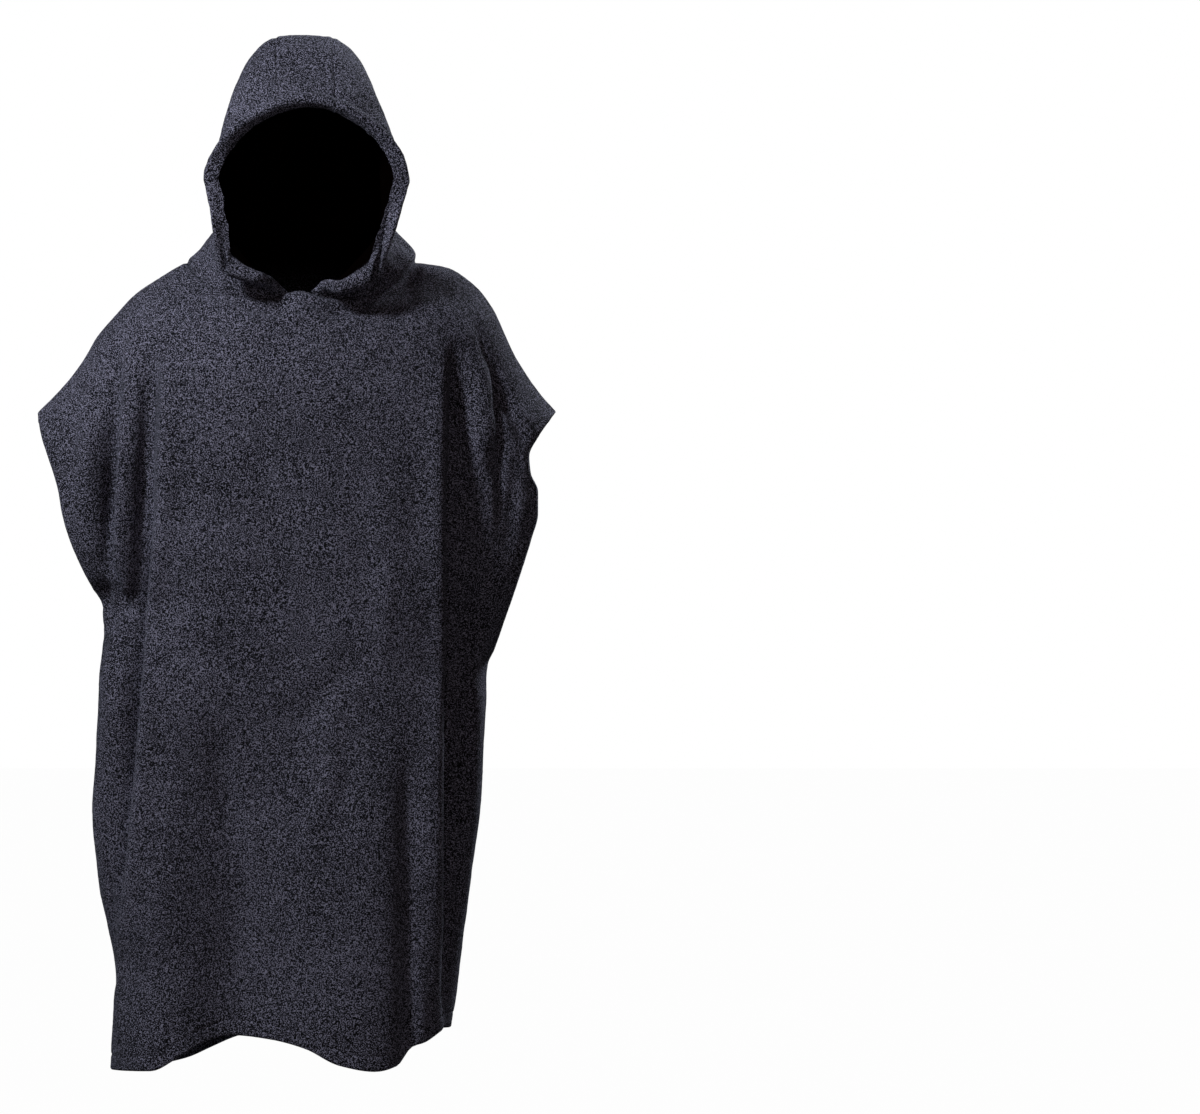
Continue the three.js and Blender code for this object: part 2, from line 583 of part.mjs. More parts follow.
function panelGeometry(panel) {
  const half = [0];
  for (let turn = NECK_CORNER; turn < 90; turn += NECK_CORNER) {
    half.push(AT_NECK * Math.sin(THREE.MathUtils.degToRad(turn)));
  }
  half.push(...gridSteps(AT_NECK, HALF_COLUMNS));
  const columns = [...half.slice(1).reverse().map((u) => -u), ...half];
  const drops = [...gridSteps(0, PANEL_ROWS), -HEM_DEPTH - HEM_STEP, -HEM_DEPTH, -NUDGE];
  const outward = panel === "front" ? -1 : 1;
  const middles = drops.map((drop) => columns.map((u) => panelPoint(panel, u, drop)));
  const rows = drops.map((drop, i) =>
    columns.map((u, j) => {
      const middle = middles[i][j].clone();
      const seam = seamDirection(panel, u, drop);
      const normal = seam ?? gridNormal(middles, i, j).multiplyScalar(outward);
      if (Math.abs(u) === 1 && drop !== 0) {
        const closed = smooth((CUFF_END_Z + CUFF_CLOSE - middle.z) / CUFF_CLOSE);
        normal.lerp(new THREE.Vector3(u, 0, 0), closed).normalize();
      }
      if (drop === 0 && Math.abs(u) <= AT_NECK + NUDGE) {
        const turn = Math.asin(clamp(u / AT_NECK, -1, 1));
        const frame = neckFrame(panel === "front" ? turn : Math.PI - turn);
        middle.addScaledVector(frame.up, -NECK_GAP / 2);
      }
      const onShoulder = drop === 0 && Math.abs(u) >= AT_NECK - NUDGE;
      const onSide = Math.abs(u) === 1 && middle.z <= CUFF_END_Z + 1;
      if (onShoulder || onSide) middle.y += (outward * SEAM_GAP) / 2;
      return wallPoint(middle, normal, CLOTH / 2, CLOTH / 2 + hemThickness(u, drop, middle.z));
    }),
  );
  return wallGeometry(rows);
}

// One side of a hood arch, from its top to its foot on the neck seam, with its length so far.
function archCurve(run, hand) {
  const size = (column) => lookup(ARCHES, "run", column, run);
  const seamAngle = THREE.MathUtils.degToRad(size("seam"));
  const foot = neckPoint(seamAngle);
  const [top, half, widest, footShare] = ["z", "half", "widest", "foot"].map(size);
  const curve = [];
  for (let i = 0; i <= CURVE_STEPS; i += 1) {
    const height = 1 - (i / CURVE_STEPS) ** 2;
    const above = clamp((height - widest) / (1 - widest), 0, 1);
    const dome = Math.max(0, 1 - above ** size("round")) ** (1 / size("round"));
    const below = widest > 0 ? clamp(1 - height / widest, 0, 1) : 0;
    const wide = half * dome * (1 - size("taper") * below);
    const footRise = clamp(1 - height / footShare, 0, 1);
    const inFoot = mix(smooth(footRise), footRise ** size("bend"), smooth(run / CHIN.run));
    const z = mix(foot.z, top, height);
    const lean = size("lean") * smooth((z - LEAN.from) / LEAN.over);
    const x = hand * mix(wide, foot.x, inFoot) + lean;
    const arch = new THREE.Vector3(x, mix(foot.y, size("y"), height), z);
    const last = curve[curve.length - 1];
    curve.push({ point: arch, length: last ? last.length + arch.distanceTo(last.point) : 0 });
  }
  return curve;
}

// The hood's middle surface. The share around an arch is 0 at the strip's edge, 1 at the foot
// of the side panel and -1 at the middle of the strip.
function hoodPoint(hand, share, run) {
  const curve = archCurve(run, hand);
  const whole = curve[curve.length - 1].length;
  const length = mix(STRIP_HALF_WIDTH, share < 0 ? 0 : whole, Math.abs(share));
  const strip = THREE.MathUtils.degToRad(STRIP_SEAM);
  const foot = THREE.MathUtils.degToRad(lookup(ARCHES, "run", "seam", 1));
  const turn = hand * mix(strip, share < 0 ? Math.PI : foot, Math.abs(share));
  let i = 1;
  while (i < CURVE_STEPS && curve[i].length < length) i += 1;
  const [a, b] = [curve[i - 1], curve[i]];
  const t = (length - a.length) / (b.length - a.length);
  const point = a.point.clone().lerp(b.point, t);
  const fromFoot = whole - length;
  const chin = smooth(fromFoot / CHIN.start) * (1 - smooth((fromFoot - CHIN.full) / CHIN.end));
  const near = chin * (1 - smooth(run / CHIN.run));
  point.y -= CHIN.forward * near;
  point.z -= CHIN_SAG[hand < 0 ? "left" : "right"] * near ** 2;
  for (const { out, peak, fade, ...place } of SHOULDER_LUMPS.filter((l) => l.hand === hand)) {
    const lump = smooth(fromFoot / peak) * smooth(1 - (fromFoot - peak) / fade);
    point.x += hand * out * lump * bell(run - place.run, place.reach);
  }
  return point.lerp(neckPoint(turn), smooth((run - SEAM_BLEND) / (1 - SEAM_BLEND)));
}

// How thick one side of the hood's wall is: the rim of the face opening is a turned, stuffed
// roll that is this thick at its fullest.
function rollThickness(run, fullest) {
  const across = clamp((2 * run) / ROLL.run - 1, -1, 1);
  return mix(CLOTH / 2, fullest, Math.sqrt(1 - across * across));
}

// The angle around the neck seam of a hood point that lies on it.
function angleOnSeam(middle, share, run) {
  if (run === 1 || share < 1) {
    const [x, y] = [middle.x / NECK.halfWidth, (SHOULDER_Y - middle.y) / NECK.halfDepth];
    return Math.atan2(x, y);
  }
  return Math.sign(middle.x) * THREE.MathUtils.degToRad(lookup(ARCHES, "run", "seam", run));
}

// One vertex of a hood piece: its wall's middle, and the direction through the wall.
function hoodVertex(hand, share, run, seamSide) {
  const middle = hoodPoint(hand, share, run);
  const nearer = share > -1 ? hoodPoint(hand, share - NUDGE, run) : hoodPoint(-hand, NUDGE - 1, run);
  const further = hoodPoint(hand, Math.min(1, share + NUDGE), run);
  const across = further.sub(nearer).normalize();
  const before = hoodPoint(hand, share, Math.max(0, run - NUDGE));
  const along = hoodPoint(hand, share, Math.min(1, run + NUDGE)).sub(before);
  const normal = across.clone().cross(along).normalize().multiplyScalar(hand);
  if (share === 0) middle.addScaledVector(across, (seamSide * SEAM_GAP) / 2);
  const frame = neckFrame(angleOnSeam(middle, share, run));
  const onSeam = run === 1 || share === 1;
  if (onSeam) middle.addScaledVector(frame.up, NECK_GAP / 2);
  const atCorner = smooth((run - CORNER.run) / (1 - CORNER.run)) * smooth(share / CORNER.share);
  normal.lerp(frame.out, onSeam ? 1 : atCorner).normalize();
  const full = mix(ROLL.atFoot, 1, smooth((1 - share) / ROLL.footShare));
  return wallPoint(
    middle,
    normal,
    rollThickness(run, ROLL.outer * full),
    rollThickness(run, ROLL.inner * full),
  );
}

function hoodGeometry(columns, seamSide) {
  const steps = ARCH_STEPS.map((count, i) => ({ to: ARCHES[i + 1].run, steps: count }));
  const runs = gridSteps(0, steps);
  return wallGeometry(
    runs.map((run) => columns.map(({ hand, share }) => hoodVertex(hand, share, run, seamSide))),
  );
}

function hoodSideGeometry(hand) {
  const columns = [];
  for (let i = 0; i <= SIDE_PANEL_COLUMNS; i += 1) {
    columns.push({ hand, share: i / SIDE_PANEL_COLUMNS });
  }
  columns.splice(-1, 0, { hand, share: AT_FOOT });
  return hoodGeometry(columns, 1);
}

function hoodStripGeometry() {
  const columns = [];
  for (let i = -STRIP_COLUMNS; i <= STRIP_COLUMNS; i += 1) {
    columns.push({ hand: Math.sign(i) || 1, share: Math.abs(i) / STRIP_COLUMNS - 1 });
  }
  return hoodGeometry(columns, -1);
}

const towelling = new THREE.MeshStandardMaterial({ color: 0x24262e, roughness: 0.95, metalness: 0 });
const towellingHood = towelling.clone();

const poncho = new THREE.Group();
function addPiece(name, geometry, material) {
  const mesh = new THREE.Mesh(geometry, material);
  mesh.name = name;
  poncho.add(mesh);
}
addPiece("front_panel", panelGeometry("front"), towelling);
addPiece("back_panel", panelGeometry("back"), towelling);
addPiece("hood_side_left", hoodSideGeometry(-1), towellingHood);
addPiece("hood_side_right", hoodSideGeometry(1), towellingHood);
addPiece("hood_centre_strip", hoodStripGeometry(), towellingHood);

export default poncho;
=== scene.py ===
import math

import bpy
import numpy as np
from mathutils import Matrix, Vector, noise


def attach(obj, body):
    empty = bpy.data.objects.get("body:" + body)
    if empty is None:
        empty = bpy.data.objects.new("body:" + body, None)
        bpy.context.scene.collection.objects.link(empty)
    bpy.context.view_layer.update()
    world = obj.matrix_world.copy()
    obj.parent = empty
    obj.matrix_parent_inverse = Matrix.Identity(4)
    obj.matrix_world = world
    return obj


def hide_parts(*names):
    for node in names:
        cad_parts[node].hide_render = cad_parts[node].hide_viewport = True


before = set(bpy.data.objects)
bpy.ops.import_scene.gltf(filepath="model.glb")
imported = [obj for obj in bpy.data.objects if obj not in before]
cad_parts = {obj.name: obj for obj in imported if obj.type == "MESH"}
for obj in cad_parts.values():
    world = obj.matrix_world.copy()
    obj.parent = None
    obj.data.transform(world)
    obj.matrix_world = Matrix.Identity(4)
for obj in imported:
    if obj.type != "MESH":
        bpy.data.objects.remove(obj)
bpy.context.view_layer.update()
scene = bpy.context.scene
DETAIL = 1.0

# Camera: the photograph's long lens, level with the middle of the picture
PHOTO_WIDE, PHOTO_HIGH = 1200, 1114
MM_PER_PIXEL = 1.355
ORIGIN_PIXEL = (300, 262)
CAMERA_DISTANCE = 15.0
SCALE_PLANE_Y = -0.035
camera_data = bpy.data.cameras.new("camera")
camera_data.sensor_fit = "HORIZONTAL"
camera_data.sensor_width = 36
camera_data.lens = 36 * CAMERA_DISTANCE / (PHOTO_WIDE * MM_PER_PIXEL / 1000)
camera_data.clip_end = 200
camera = bpy.data.objects.new("camera", camera_data)
camera.location = (
    (PHOTO_WIDE / 2 - ORIGIN_PIXEL[0]) * MM_PER_PIXEL / 1000,
    SCALE_PLANE_Y - CAMERA_DISTANCE,
    (ORIGIN_PIXEL[1] - PHOTO_HIGH / 2) * MM_PER_PIXEL / 1000,
)
camera.rotation_euler = (math.pi / 2, 0, 0)
scene.collection.objects.link(camera)
scene.camera = camera
scene.view_settings.view_transform = "Standard"
scene.view_settings.look = "None"

# Cloth, seams and hems, in millimetres
CLOTH = 3.0
HEM_DEPTH = 20.0
HEM_CLOTH = 5.5
ROLL_DEPTH = 22.0
ROLL_RUN = 0.045
ROLL_OUTER, ROLL_INNER = 6.5, 14.5
ROLL_AT_FOOT, ROLL_FOOT_SHARE = 0.45, 0.12
HALF_SEAM_GAP = 0.12
EDGE_ROUND = 2.2
OUTWARD = {"front": -1, "back": 1}
HAND = {"left": -1, "right": 1}

# Seams and stitched grooves: how deep, how wide, and how far off the ridge beside them stands
SEAM_GROOVE, SEAM_WIDTH = 1.5, 4.0
SEAM_RIDGE, SEAM_RIDGE_AT, SEAM_RIDGE_WIDTH = 0.6, 9.0, 5.0
SEAM_TURN = 9.0
STRIP_GROOVE, STRIP_WIDTH = 0.9, 2.5
STRIP_RIDGE, STRIP_RIDGE_AT, STRIP_RIDGE_WIDTH = 0.5, 6.0, 4.0
STITCH_GROOVE, ROLL_STITCH_GROOVE, STITCH_WIDTH = 1.1, 1.4, 1.8
ROLL_STITCH_END = 0.07

# Unevenness of the cloth: rows of height, size of a bump and seed
PANEL_UNEVEN = ((1.6, 90, 3.1), (0.8, 34, 8.7))
HOOD_UNEVEN = ((1.4, 70, 5.3), (0.7, 26, 2.9))
PANEL_PILE = ((0.3, 5.5, 1.3),)
HOOD_PILE = ((0.3, 5.5, 4.1),)
ROLL_PUFF = ((0.16, 17, 9.2), (0.1, 8, 3.3))

# How far from a seam the creases reach their full depth
PANEL_TOP_CALM, PANEL_SIDE_CALM = 20.0, 30.0
NECK_CALM, STRIP_CALM = 25.0, 12.0

# Painted shade on the inner side: how it darkens away from its edges, and below the neck
INNER_SHADE_FROM, INNER_SHADE_OVER, INNER_SHADE_MOST = 12.0, 20.0, 0.8
INNER_SHADE_BELOW_NECK = 150.0

# Neck seam
HALF_WIDTH, HALF_DEPTH = 155.0, 95.0
FRAME_STEP = 0.002
FRONT_DROP, BACK_RISE, FRONT_POWER = 50.0, 11.0, 5
CENTRE_RISE, CENTRE_ANGLE = 10.0, math.radians(15)
SHOULDER_Y = 10.0

# Cuffs
TIP_Z, CUFF_END_Z = -203.0, -565.0
CUFF_GAP = {"front": 34.0, "back": 38.0}
CUFF_GAP_POWER = 1.5
CUFF_TURN_Z = {"left": -470.0, "right": -545.0}
CUFF_FADE, CUFF_CLOSE = 30.0, 40.0

# Shares of a panel's half width
AT_NECK, AT_INNER, AT_OUTER, AT_CUFF_HEM = 155 / 450, 0.46, 0.6, 0.955


def table(names, *rows):
    """Columns by name, out of rows of numbers."""
    return dict(zip(names.split(), np.array(rows, float).T))


SHOULDER = table(
    "share left leftZ right rightZ",
    (0, 155, 0, 155, 0),
    (0.13, 187, -19, 192, -6),
    (0.28, 225, -45, 231, -28),
    (0.42, 251, -73, 259, -62),
    (0.55, 275, -101, 275, -96),
    (0.68, 294, -133, 290, -128),
    (0.8, 314, -160, 309, -158),
    (0.9, 334, -182, 326, -181),
    (1, 356, TIP_Z, 346, TIP_Z),
)
SIDES = table(
    "z leftEdge leftWide rightEdge rightWide",
    (-203, 356, 356, 346, 346),
    (-215, 355, 366, 337, 355),
    (-235, 351, 374, 323, 361),
    (-262, 342, 374, 310, 358),
    (-285, 334, 367, 312, 352),
    (-310, 327, 357, 322, 345),
    (-340, 322, 345, 322, 335),
    (-375, 312, 328, 313, 322),
    (-420, 293, 299, 299, 305),
    (-470, 267, 267, 282, 284.5),
    (-520, 252, 268, 264, 264.4),
    (-545, 247, 269, 253, 253),
    (-565, 243, 270, 247, 250.5),
    (-600, 243, 271, 238, 249.5),
    (-660, 246, 274, 230, 247),
    (-740, 252, 280, 224, 243),
    (-800, 249, 277, 215, 235),
    (-900, 239, 263, 202, 221),
    (-975, 230, 252, 192, 212),
    (-1100, 234, 255, 174, 192),
)
PROFILE = table(
    "z front back flat round",
    (0, 45, 98, 2, 2),
    (-20, 60, 106, 2, 2),
    (-42, 80, 111, 2, 2),
    (-62, 99, 115, 2.05, 2),
    (-100, 121, 121, 2.2, 1.85),
    (-150, 136, 127, 2.35, 1.6),
    (-203, 144, 130, 2.5, 1.35),
    (-350, 150, 129, 2.8, 1.2),
    (-470, 152, 127, 2.8, 1.5),
    (-600, 153, 128, 2.9, 2.3),
    (-850, 156, 131, 3, 2.6),
    (-1100, 162, 138, 3, 2.5),
)
FOLD_NAMES = "z innerX innerDepth innerReach outerX outerDepth"
FOLDS = {
    "frontleft": table(
        FOLD_NAMES,
        (-100, 188, 0, 26, 234, 0),
        (-220, 194, 24, 26, 246, 16),
        (-350, 200, 34, 26, 256, 26),
        (-470, 211, 38, 26, 258, 16),
        (-560, 217, 38, 26, 262, 0),
        (-800, 236, 34, 26, 266, 0),
        (-930, 248, 16, 26, 256, 0),
        (-1100, 246, 0, 26, 251, 0),
    ),
    "frontright": table(
        FOLD_NAMES,
        (-100, 203, 0, 26, 256, 0),
        (-200, 205, 26, 34, 270, 6),
        (-330, 205, 44, 52, 271, 5),
        (-470, 205, 46, 56, 258, 3),
        (-560, 203, 44, 40, 238, 0),
        (-800, 200, 34, 26, 221, 0),
        (-930, 200, 16, 26, 208, 0),
        (-1100, 190, 0, 26, 196, 0),
    ),
    "backleft": table(
        FOLD_NAMES,
        (-100, 214, 0, 26, 250, 0),
        (-200, 218, 16, 26, 274, 14),
        (-330, 222, 26, 26, 288, 18),
        (-470, 224, 28, 26, 258, 6),
        (-560, 225, 28, 26, 260, 0),
        (-800, 230, 22, 26, 264, 0),
        (-1000, 228, 8, 26, 248, 0),
        (-1100, 226, 0, 26, 248, 0),
    ),
    "backright": table(
        FOLD_NAMES,
        (-110, 181, 0, 26, 252, 0),
        (-200, 182, 20, 26, 260, 16),
        (-330, 183, 32, 26, 271, 26),
        (-450, 187, 34, 26, 266, 18),
        (-560, 189, 32, 26, 236, 0),
        (-800, 186, 28, 26, 218, 0),
        (-1000, 170, 18, 26, 196, 0),
        (-1100, 165, 14, 26, 192, 0),
    ),
}
FOLLOW_FROM, FOLLOW_OVER = 70, 70
FOLD_OFFSET, FOLD_STEEP, FOLD_GENTLE = 8, 11, 26
LIP, LIP_OFFSET, LIP_WIDTH = 0.16, -17, 15
WAVE_NAMES = "x width from to fade depth"
WAVES = {
    "front": table(
        WAVE_NAMES,
        (-75, 62, -1100, -760, 300, 24),
        (95, 60, -1100, -820, 240, -10),
        (148, 17, -1100, -760, 160, 13),
        (-190, 38, -1100, -860, 220, -9),
        (20, 90, -620, -330, 200, 5),
    ),
    "back": table(
        WAVE_NAMES,
        (20, 70, -1100, -800, 300, 20),
        (-128, 26, -1100, -720, 200, -12),
        (-60, 30, -1000, -680, 160, 8),
        (90, 34, -1100, -860, 200, -9),
    ),
}
HEM = table(
    "x front back",
    (-250, -1093, -1090),
    (-205, -1092, -1094),
    (-165, -1074, -1087),
    (-130, -1055, -1073),
    (-90, -1044, -1056),
    (-40, -1049, -1044),
    (10, -1062, -1038),
    (55, -1084, -1040),
    (100, -1092, -1048),
    (130, -1085, -1056),
    (152, -1060, -1053),
    (176, -1050, -1047),
    (200, -1031, -1035),
)
HEM_AT = {"front": -1047.0, "back": -1056.0}
TUCK_SLOPE = 2.2
TOP_FADE = 75.0
CURVE_STEPS = 120
TUCK_STEPS = 16
TUCK_BEND = 0.6
POINTS_AT_ONCE = 6000

ARCHES = table(
    "run y z half widest round foot bend taper lean seam",
    (0, -112, 212, 133, 0.6, 1.75, 0.12, 3, 0.32, 11, 5.5),
    (0.045, -99, 226, 132, 0.58, 1.75, 0.3, 1.6, 0.3, 11, 13),
    (0.06, -94, 231, 130, 0.57, 1.85, 0.4, 1.5, 0.28, 11, 15),
    (0.14, -69, 254, 120, 0.58, 2.3, 0.45, 1.4, 0.1, 9, 30),
    (0.22, -37, 288, 114, 0.36, 2.8, 0.35, 1.3, 0, 6, 45),
    (0.3, 0, 308, 109, 0.1, 3.1, 0.23, 1.2, 0, 5, 60),
    (0.4, 52, 299, 108, 0, 3, 0.24, 1.2, 0, 5, 75),
    (0.56, 106, 239, 107, 0, 2.2, 0.3, 1.2, 0, 6, 90),
    (0.78, 115, 125, 107, 0, 2, 0.55, 1.2, 0, 6, 105),
    (0.85, 101, 90, 108, 0, 2, 0.7, 1.2, 0, 5, 110),
    (0.93, 98, 47, 116, 0, 2, 0.9, 1.2, 0, 3, 116),
    (1, 105, 11, 130, 0, 2, 1, 1.2, 0, 0, 120),
)
STRIP_SEAM, STRIP_HALF_WIDTH = 165.0, 39.0
ARCH_POINTS = 200
HOOD_MIDDLE = (5.0, 0.0, 120.0)
LEAN_FROM, LEAN_OVER = -30, 140
CHIN_FORWARD, CHIN_START, CHIN_FULL, CHIN_END, CHIN_RUN = 24, 45, 95, 210, 0.16
CHIN_SAG = {-1: 5, 1: 19}
SHOULDER_LUMPS = {-1: (-7, 38, 60, 0.4, 0.2), 1: (14, 22, 50, 0.4, 0.17)}
SEAM_BLEND = 0.86
SEAM_OUT, SEAM_UP = 0.75, 0.66


def mix(a, b, t):
    return a + (b - a) * t


def smooth(t):
    c = np.clip(t, 0, 1)
    return c * c * (3 - 2 * c)


def bell(distance, width):
    return np.exp(-((distance / width) ** 2))


def lookup(rows, key, column, at):
    """A table's column at values of its key column, on a smooth curve that never overshoots."""
    order = np.argsort(rows[key])
    x, y = rows[key][order], rows[column][order]
    slope = np.diff(y) / np.diff(x)
    before, after = slope[:-1], slope[1:]
    same = before * after > 0
    tangent = np.concatenate([slope[:1], np.zeros(len(before)), slope[-1:]])
    tangent[1:-1][same] = 2 * before[same] * after[same] / (before[same] + after[same])
    at = np.clip(at, x[0], x[-1])
    i = np.clip(np.searchsorted(x, at) - 1, 0, len(x) - 2)
    width = x[i + 1] - x[i]
    t = (at - x[i]) / width
    return (
        y[i] * (1 + 2 * t) * (1 - t) ** 2
        + tangent[i] * width * t * (1 - t) ** 2
        + y[i + 1] * t * t * (3 - 2 * t)
        + tangent[i + 1] * width * t * t * (t - 1)
    )


def unit(vectors):
    size = np.linalg.norm(vectors, axis=-1, keepdims=True)
    return vectors / np.where(size > 0, size, 1)


# Neck seam
def neck_point(angle):
    s, c = np.sin(angle), np.cos(angle)
    drop = -FRONT_DROP * (1 - np.abs(s) ** FRONT_POWER)
    drop = drop + CENTRE_RISE * smooth(1 - np.arcsin(np.clip(np.abs(s), 0, 1)) / CENTRE_ANGLE)
    z = np.where(c > 0, drop, BACK_RISE * c * c)
    return np.stack([HALF_WIDTH * s, SHOULDER_Y - HALF_DEPTH * c, z], -1)


def neck_frame(angle):
    along = unit(neck_point(angle + FRAME_STEP) - neck_point(angle - FRAME_STEP))
    flat = np.stack([np.sin(angle), -np.cos(angle), 0 * angle], -1) * SEAM_OUT
    flat[..., 2] = SEAM_UP
    out = unit(flat - along * np.sum(flat * along, -1, keepdims=True))
    up = unit(np.cross(out, along))
    return out, np.where(up[..., 2:] < 0, -up, up)


# Panels
def side_sizes(panel, side, z):
    above = z > TIP_Z
    shoulder = lookup(SHOULDER, side + "Z", side, z)
    edge = np.where(above, shoulder, lookup(SIDES, "z", side + "Edge", z))
    wide = np.where(above, shoulder, lookup(SIDES, "z", side + "Wide", z))
    opened = np.clip((TIP_Z - z) / (TIP_Z - CUFF_END_Z), 0, 1)
    gap = CUFF_GAP[panel] * np.maximum(0, np.sin(np.pi * opened)) ** CUFF_GAP_POWER
    outward = OUTWARD[panel]
    edge_y = SHOULDER_Y + outward * gap
    tuck = np.where(z < CUFF_TURN_Z[side], wide - edge, 0)
    return wide, edge, edge_y + outward * TUCK_SLOPE * tuck, edge_y, tuck


def level_curves(panel, side, z):
    """The level curve at each z, from the panel's middle to its edge: x, y, length, outward."""
    wide, edge, wide_y, edge_y, tuck = (v[:, None] for v in side_sizes(panel, side, z))
    outward = OUTWARD[panel]
    middle_y = SHOULDER_Y + outward * lookup(PROFILE, "z", panel, z)[:, None]
    flat = lookup(PROFILE, "z", "flat", z)[:, None]
    rounded = lookup(PROFILE, "z", "round", z)[:, None]
    reach = np.where(tuck > 0, 1, np.minimum(1, edge / wide))
    turn = np.arcsin(reach ** (flat / 2)) * np.linspace(0, 1, CURVE_STEPS + 1)
    rise = np.maximum(0, np.cos(turn)) ** (2 / rounded)
    rise[rise < 1e-6] = 0
    x = wide * np.sin(turn) ** (2 / flat)
    y = mix(wide_y, middle_y, rise)
    t = np.linspace(0, 1, TUCK_STEPS + 1)[1:]
    bend_y = mix(wide_y, edge_y, TUCK_BEND)
    tuck_x = mix(wide, mix(wide, edge, t), t)
    tuck_y = mix(mix(wide_y, bend_y, t), mix(bend_y, edge_y, t), t)
    tucked = tuck > 0.01
    x = np.concatenate([x, np.where(tucked, tuck_x, x[:, -1:])], 1)
    y = np.concatenate([y, np.where(tucked, tuck_y, y[:, -1:])], 1)
    step = np.hypot(np.diff(x), np.diff(y))
    length = np.concatenate([0 * x[:, :1], np.cumsum(step, 1)], 1)
    dx = np.concatenate([x[:, 1:2] - x[:, :1], x[:, 2:] - x[:, :-2], x[:, -1:] - x[:, -2:-1]], 1)
    dy = np.concatenate([y[:, 1:2] - y[:, :1], y[:, 2:] - y[:, :-2], y[:, -1:] - y[:, -2:-1]], 1)
    span = np.hypot(dx, dy)
    bare = span == 0
    span[bare] = 1
    out_x, out_y = -outward * dy / span, outward * dx / span
    at_edge = slice(CURVE_STEPS, CURVE_STEPS + 1)
    out_x = np.where(bare, out_x[:, at_edge], out_x)
    out_y = np.where(bare, out_y[:, at_edge], out_y)
    return x, y, length, out_x, out_y


def pick(values, i):
    return np.take_along_axis(values, i[:, None], 1)[:, 0]


def on_curves(curves, length):
    x, y, lengths, out_x, out_y = curves
    i = np.clip((lengths < length[:, None]).sum(1), 1, lengths.shape[1] - 1)
    a, b = pick(lengths, i - 1), pick(lengths, i)
    t = np.where(b > a, (length - a) / np.where(b > a, b - a, 1), 0)
    ax, ay = (mix(pick(v, i - 1), pick(v, i), t) for v in (out_x, out_y))
    size = np.hypot(ax, ay)
    size[size == 0] = 1
    px, py = (mix(pick(v, i - 1), pick(v, i), t) for v in (x, y))
    return px, py, ax / size, ay / size


def length_at_x(curves, x):
    xs, lengths = curves[0][:, : CURVE_STEPS + 1], curves[2]
    i = np.clip((xs < x[:, None]).sum(1), 1, CURVE_STEPS)
    a, b = pick(xs, i - 1), pick(xs, i)
    t = np.clip((x - a) / np.where(b > a, b - a, 1), 0, 1)
    return mix(pick(lengths, i - 1), pick(lengths, i), t)


def fold_depth(distance, depth, gentle=FOLD_GENTLE):
    width = np.where(distance < FOLD_OFFSET, FOLD_STEEP, gentle)
    trough = bell(distance - FOLD_OFFSET, width)
    return depth * (trough - LIP * bell(distance - LIP_OFFSET, LIP_WIDTH))


def wave_depth(panel, x, z):
    waves = WAVES[panel]
    depth = 0 * x
    for i in range(len(waves["x"])):
        row = {name: column[i] for name, column in waves.items()}
        reach = smooth(1 - (z - row["to"]) / row["fade"])
        reach = reach * smooth(1 - (row["from"] - z) / row["fade"])
        depth += row["depth"] * reach * bell(x - row["x"], row["width"])
    return depth


def level_points(panel, side, share, z):
    """A panel's middle surface at shares of its half width and levels, on one side."""
    share, z = np.broadcast_arrays(share, z)
    shape = z.shape
    share, z = share.ravel(), z.ravel()
    out = np.empty((len(z), 3))
    for start in range(0, len(z), POINTS_AT_ONCE):
        part = slice(start, start + POINTS_AT_ONCE)
        out[part] = level_points_part(panel, side, share[part], z[part])
    return out.reshape(*shape, 3)


def level_points_part(panel, side, share, z):
    curves = level_curves(panel, side, z)
    whole = curves[2][:, -1]
    folds = FOLDS[panel + side]
    room = np.minimum(60, whole * 0.2)
    outer = np.minimum(length_at_x(curves, lookup(folds, "z", "outerX", z)), whole - room)
    inner = np.minimum(length_at_x(curves, lookup(folds, "z", "innerX", z)), outer - room / 3)
    seam = mix(AT_NECK, 1, lookup(SHOULDER, side + "Z", "share", z))
    end = np.where(z > TIP_Z, seam, 1)
    natural = whole * share / end
    below = z <= TIP_Z
    spread = (1 - AT_CUFF_HEM) / (1 - AT_OUTER) * (whole - outer)
    hem = whole - mix(spread, HEM_DEPTH, smooth((TIP_Z - z) / CUFF_FADE))
    knots = [0 * z, 0 * z + AT_INNER, 0 * z + AT_OUTER, np.where(below, AT_CUFF_HEM, end), end]
    marks = [0 * z, inner, outer, np.where(below, hem, whole), whole]
    followed = whole.copy()
    for i in (4, 3, 2, 1):
        a, b = knots[i - 1], knots[i]
        t = (share - a) / np.where(np.abs(b - a) > 1e-9, b - a, 1)
        if i == 4:
            followed = np.where(np.abs(b - a) > 1e-9, mix(marks[3], marks[4], t), whole)
        else:
            followed = np.where(share <= b, mix(marks[i - 1], marks[i], t), followed)
    length = mix(natural, followed, smooth((-z - FOLLOW_FROM) / FOLLOW_OVER))
    x, y, out_x, out_y = on_curves(curves, length)
    hand = HAND[side]
    reach = lookup(folds, "z", "innerReach", z)
    depth = fold_depth(length - inner, lookup(folds, "z", "innerDepth", z), reach)
    depth = depth + fold_depth(length - outer, lookup(folds, "z", "outerDepth", z))
    depth = depth * smooth((whole - length) / HEM_DEPTH)
    depth = depth + wave_depth(panel, hand * x, z) * (1 - share**4)
    return np.stack([hand * (x - depth * out_x), y - depth * out_y, z], -1)


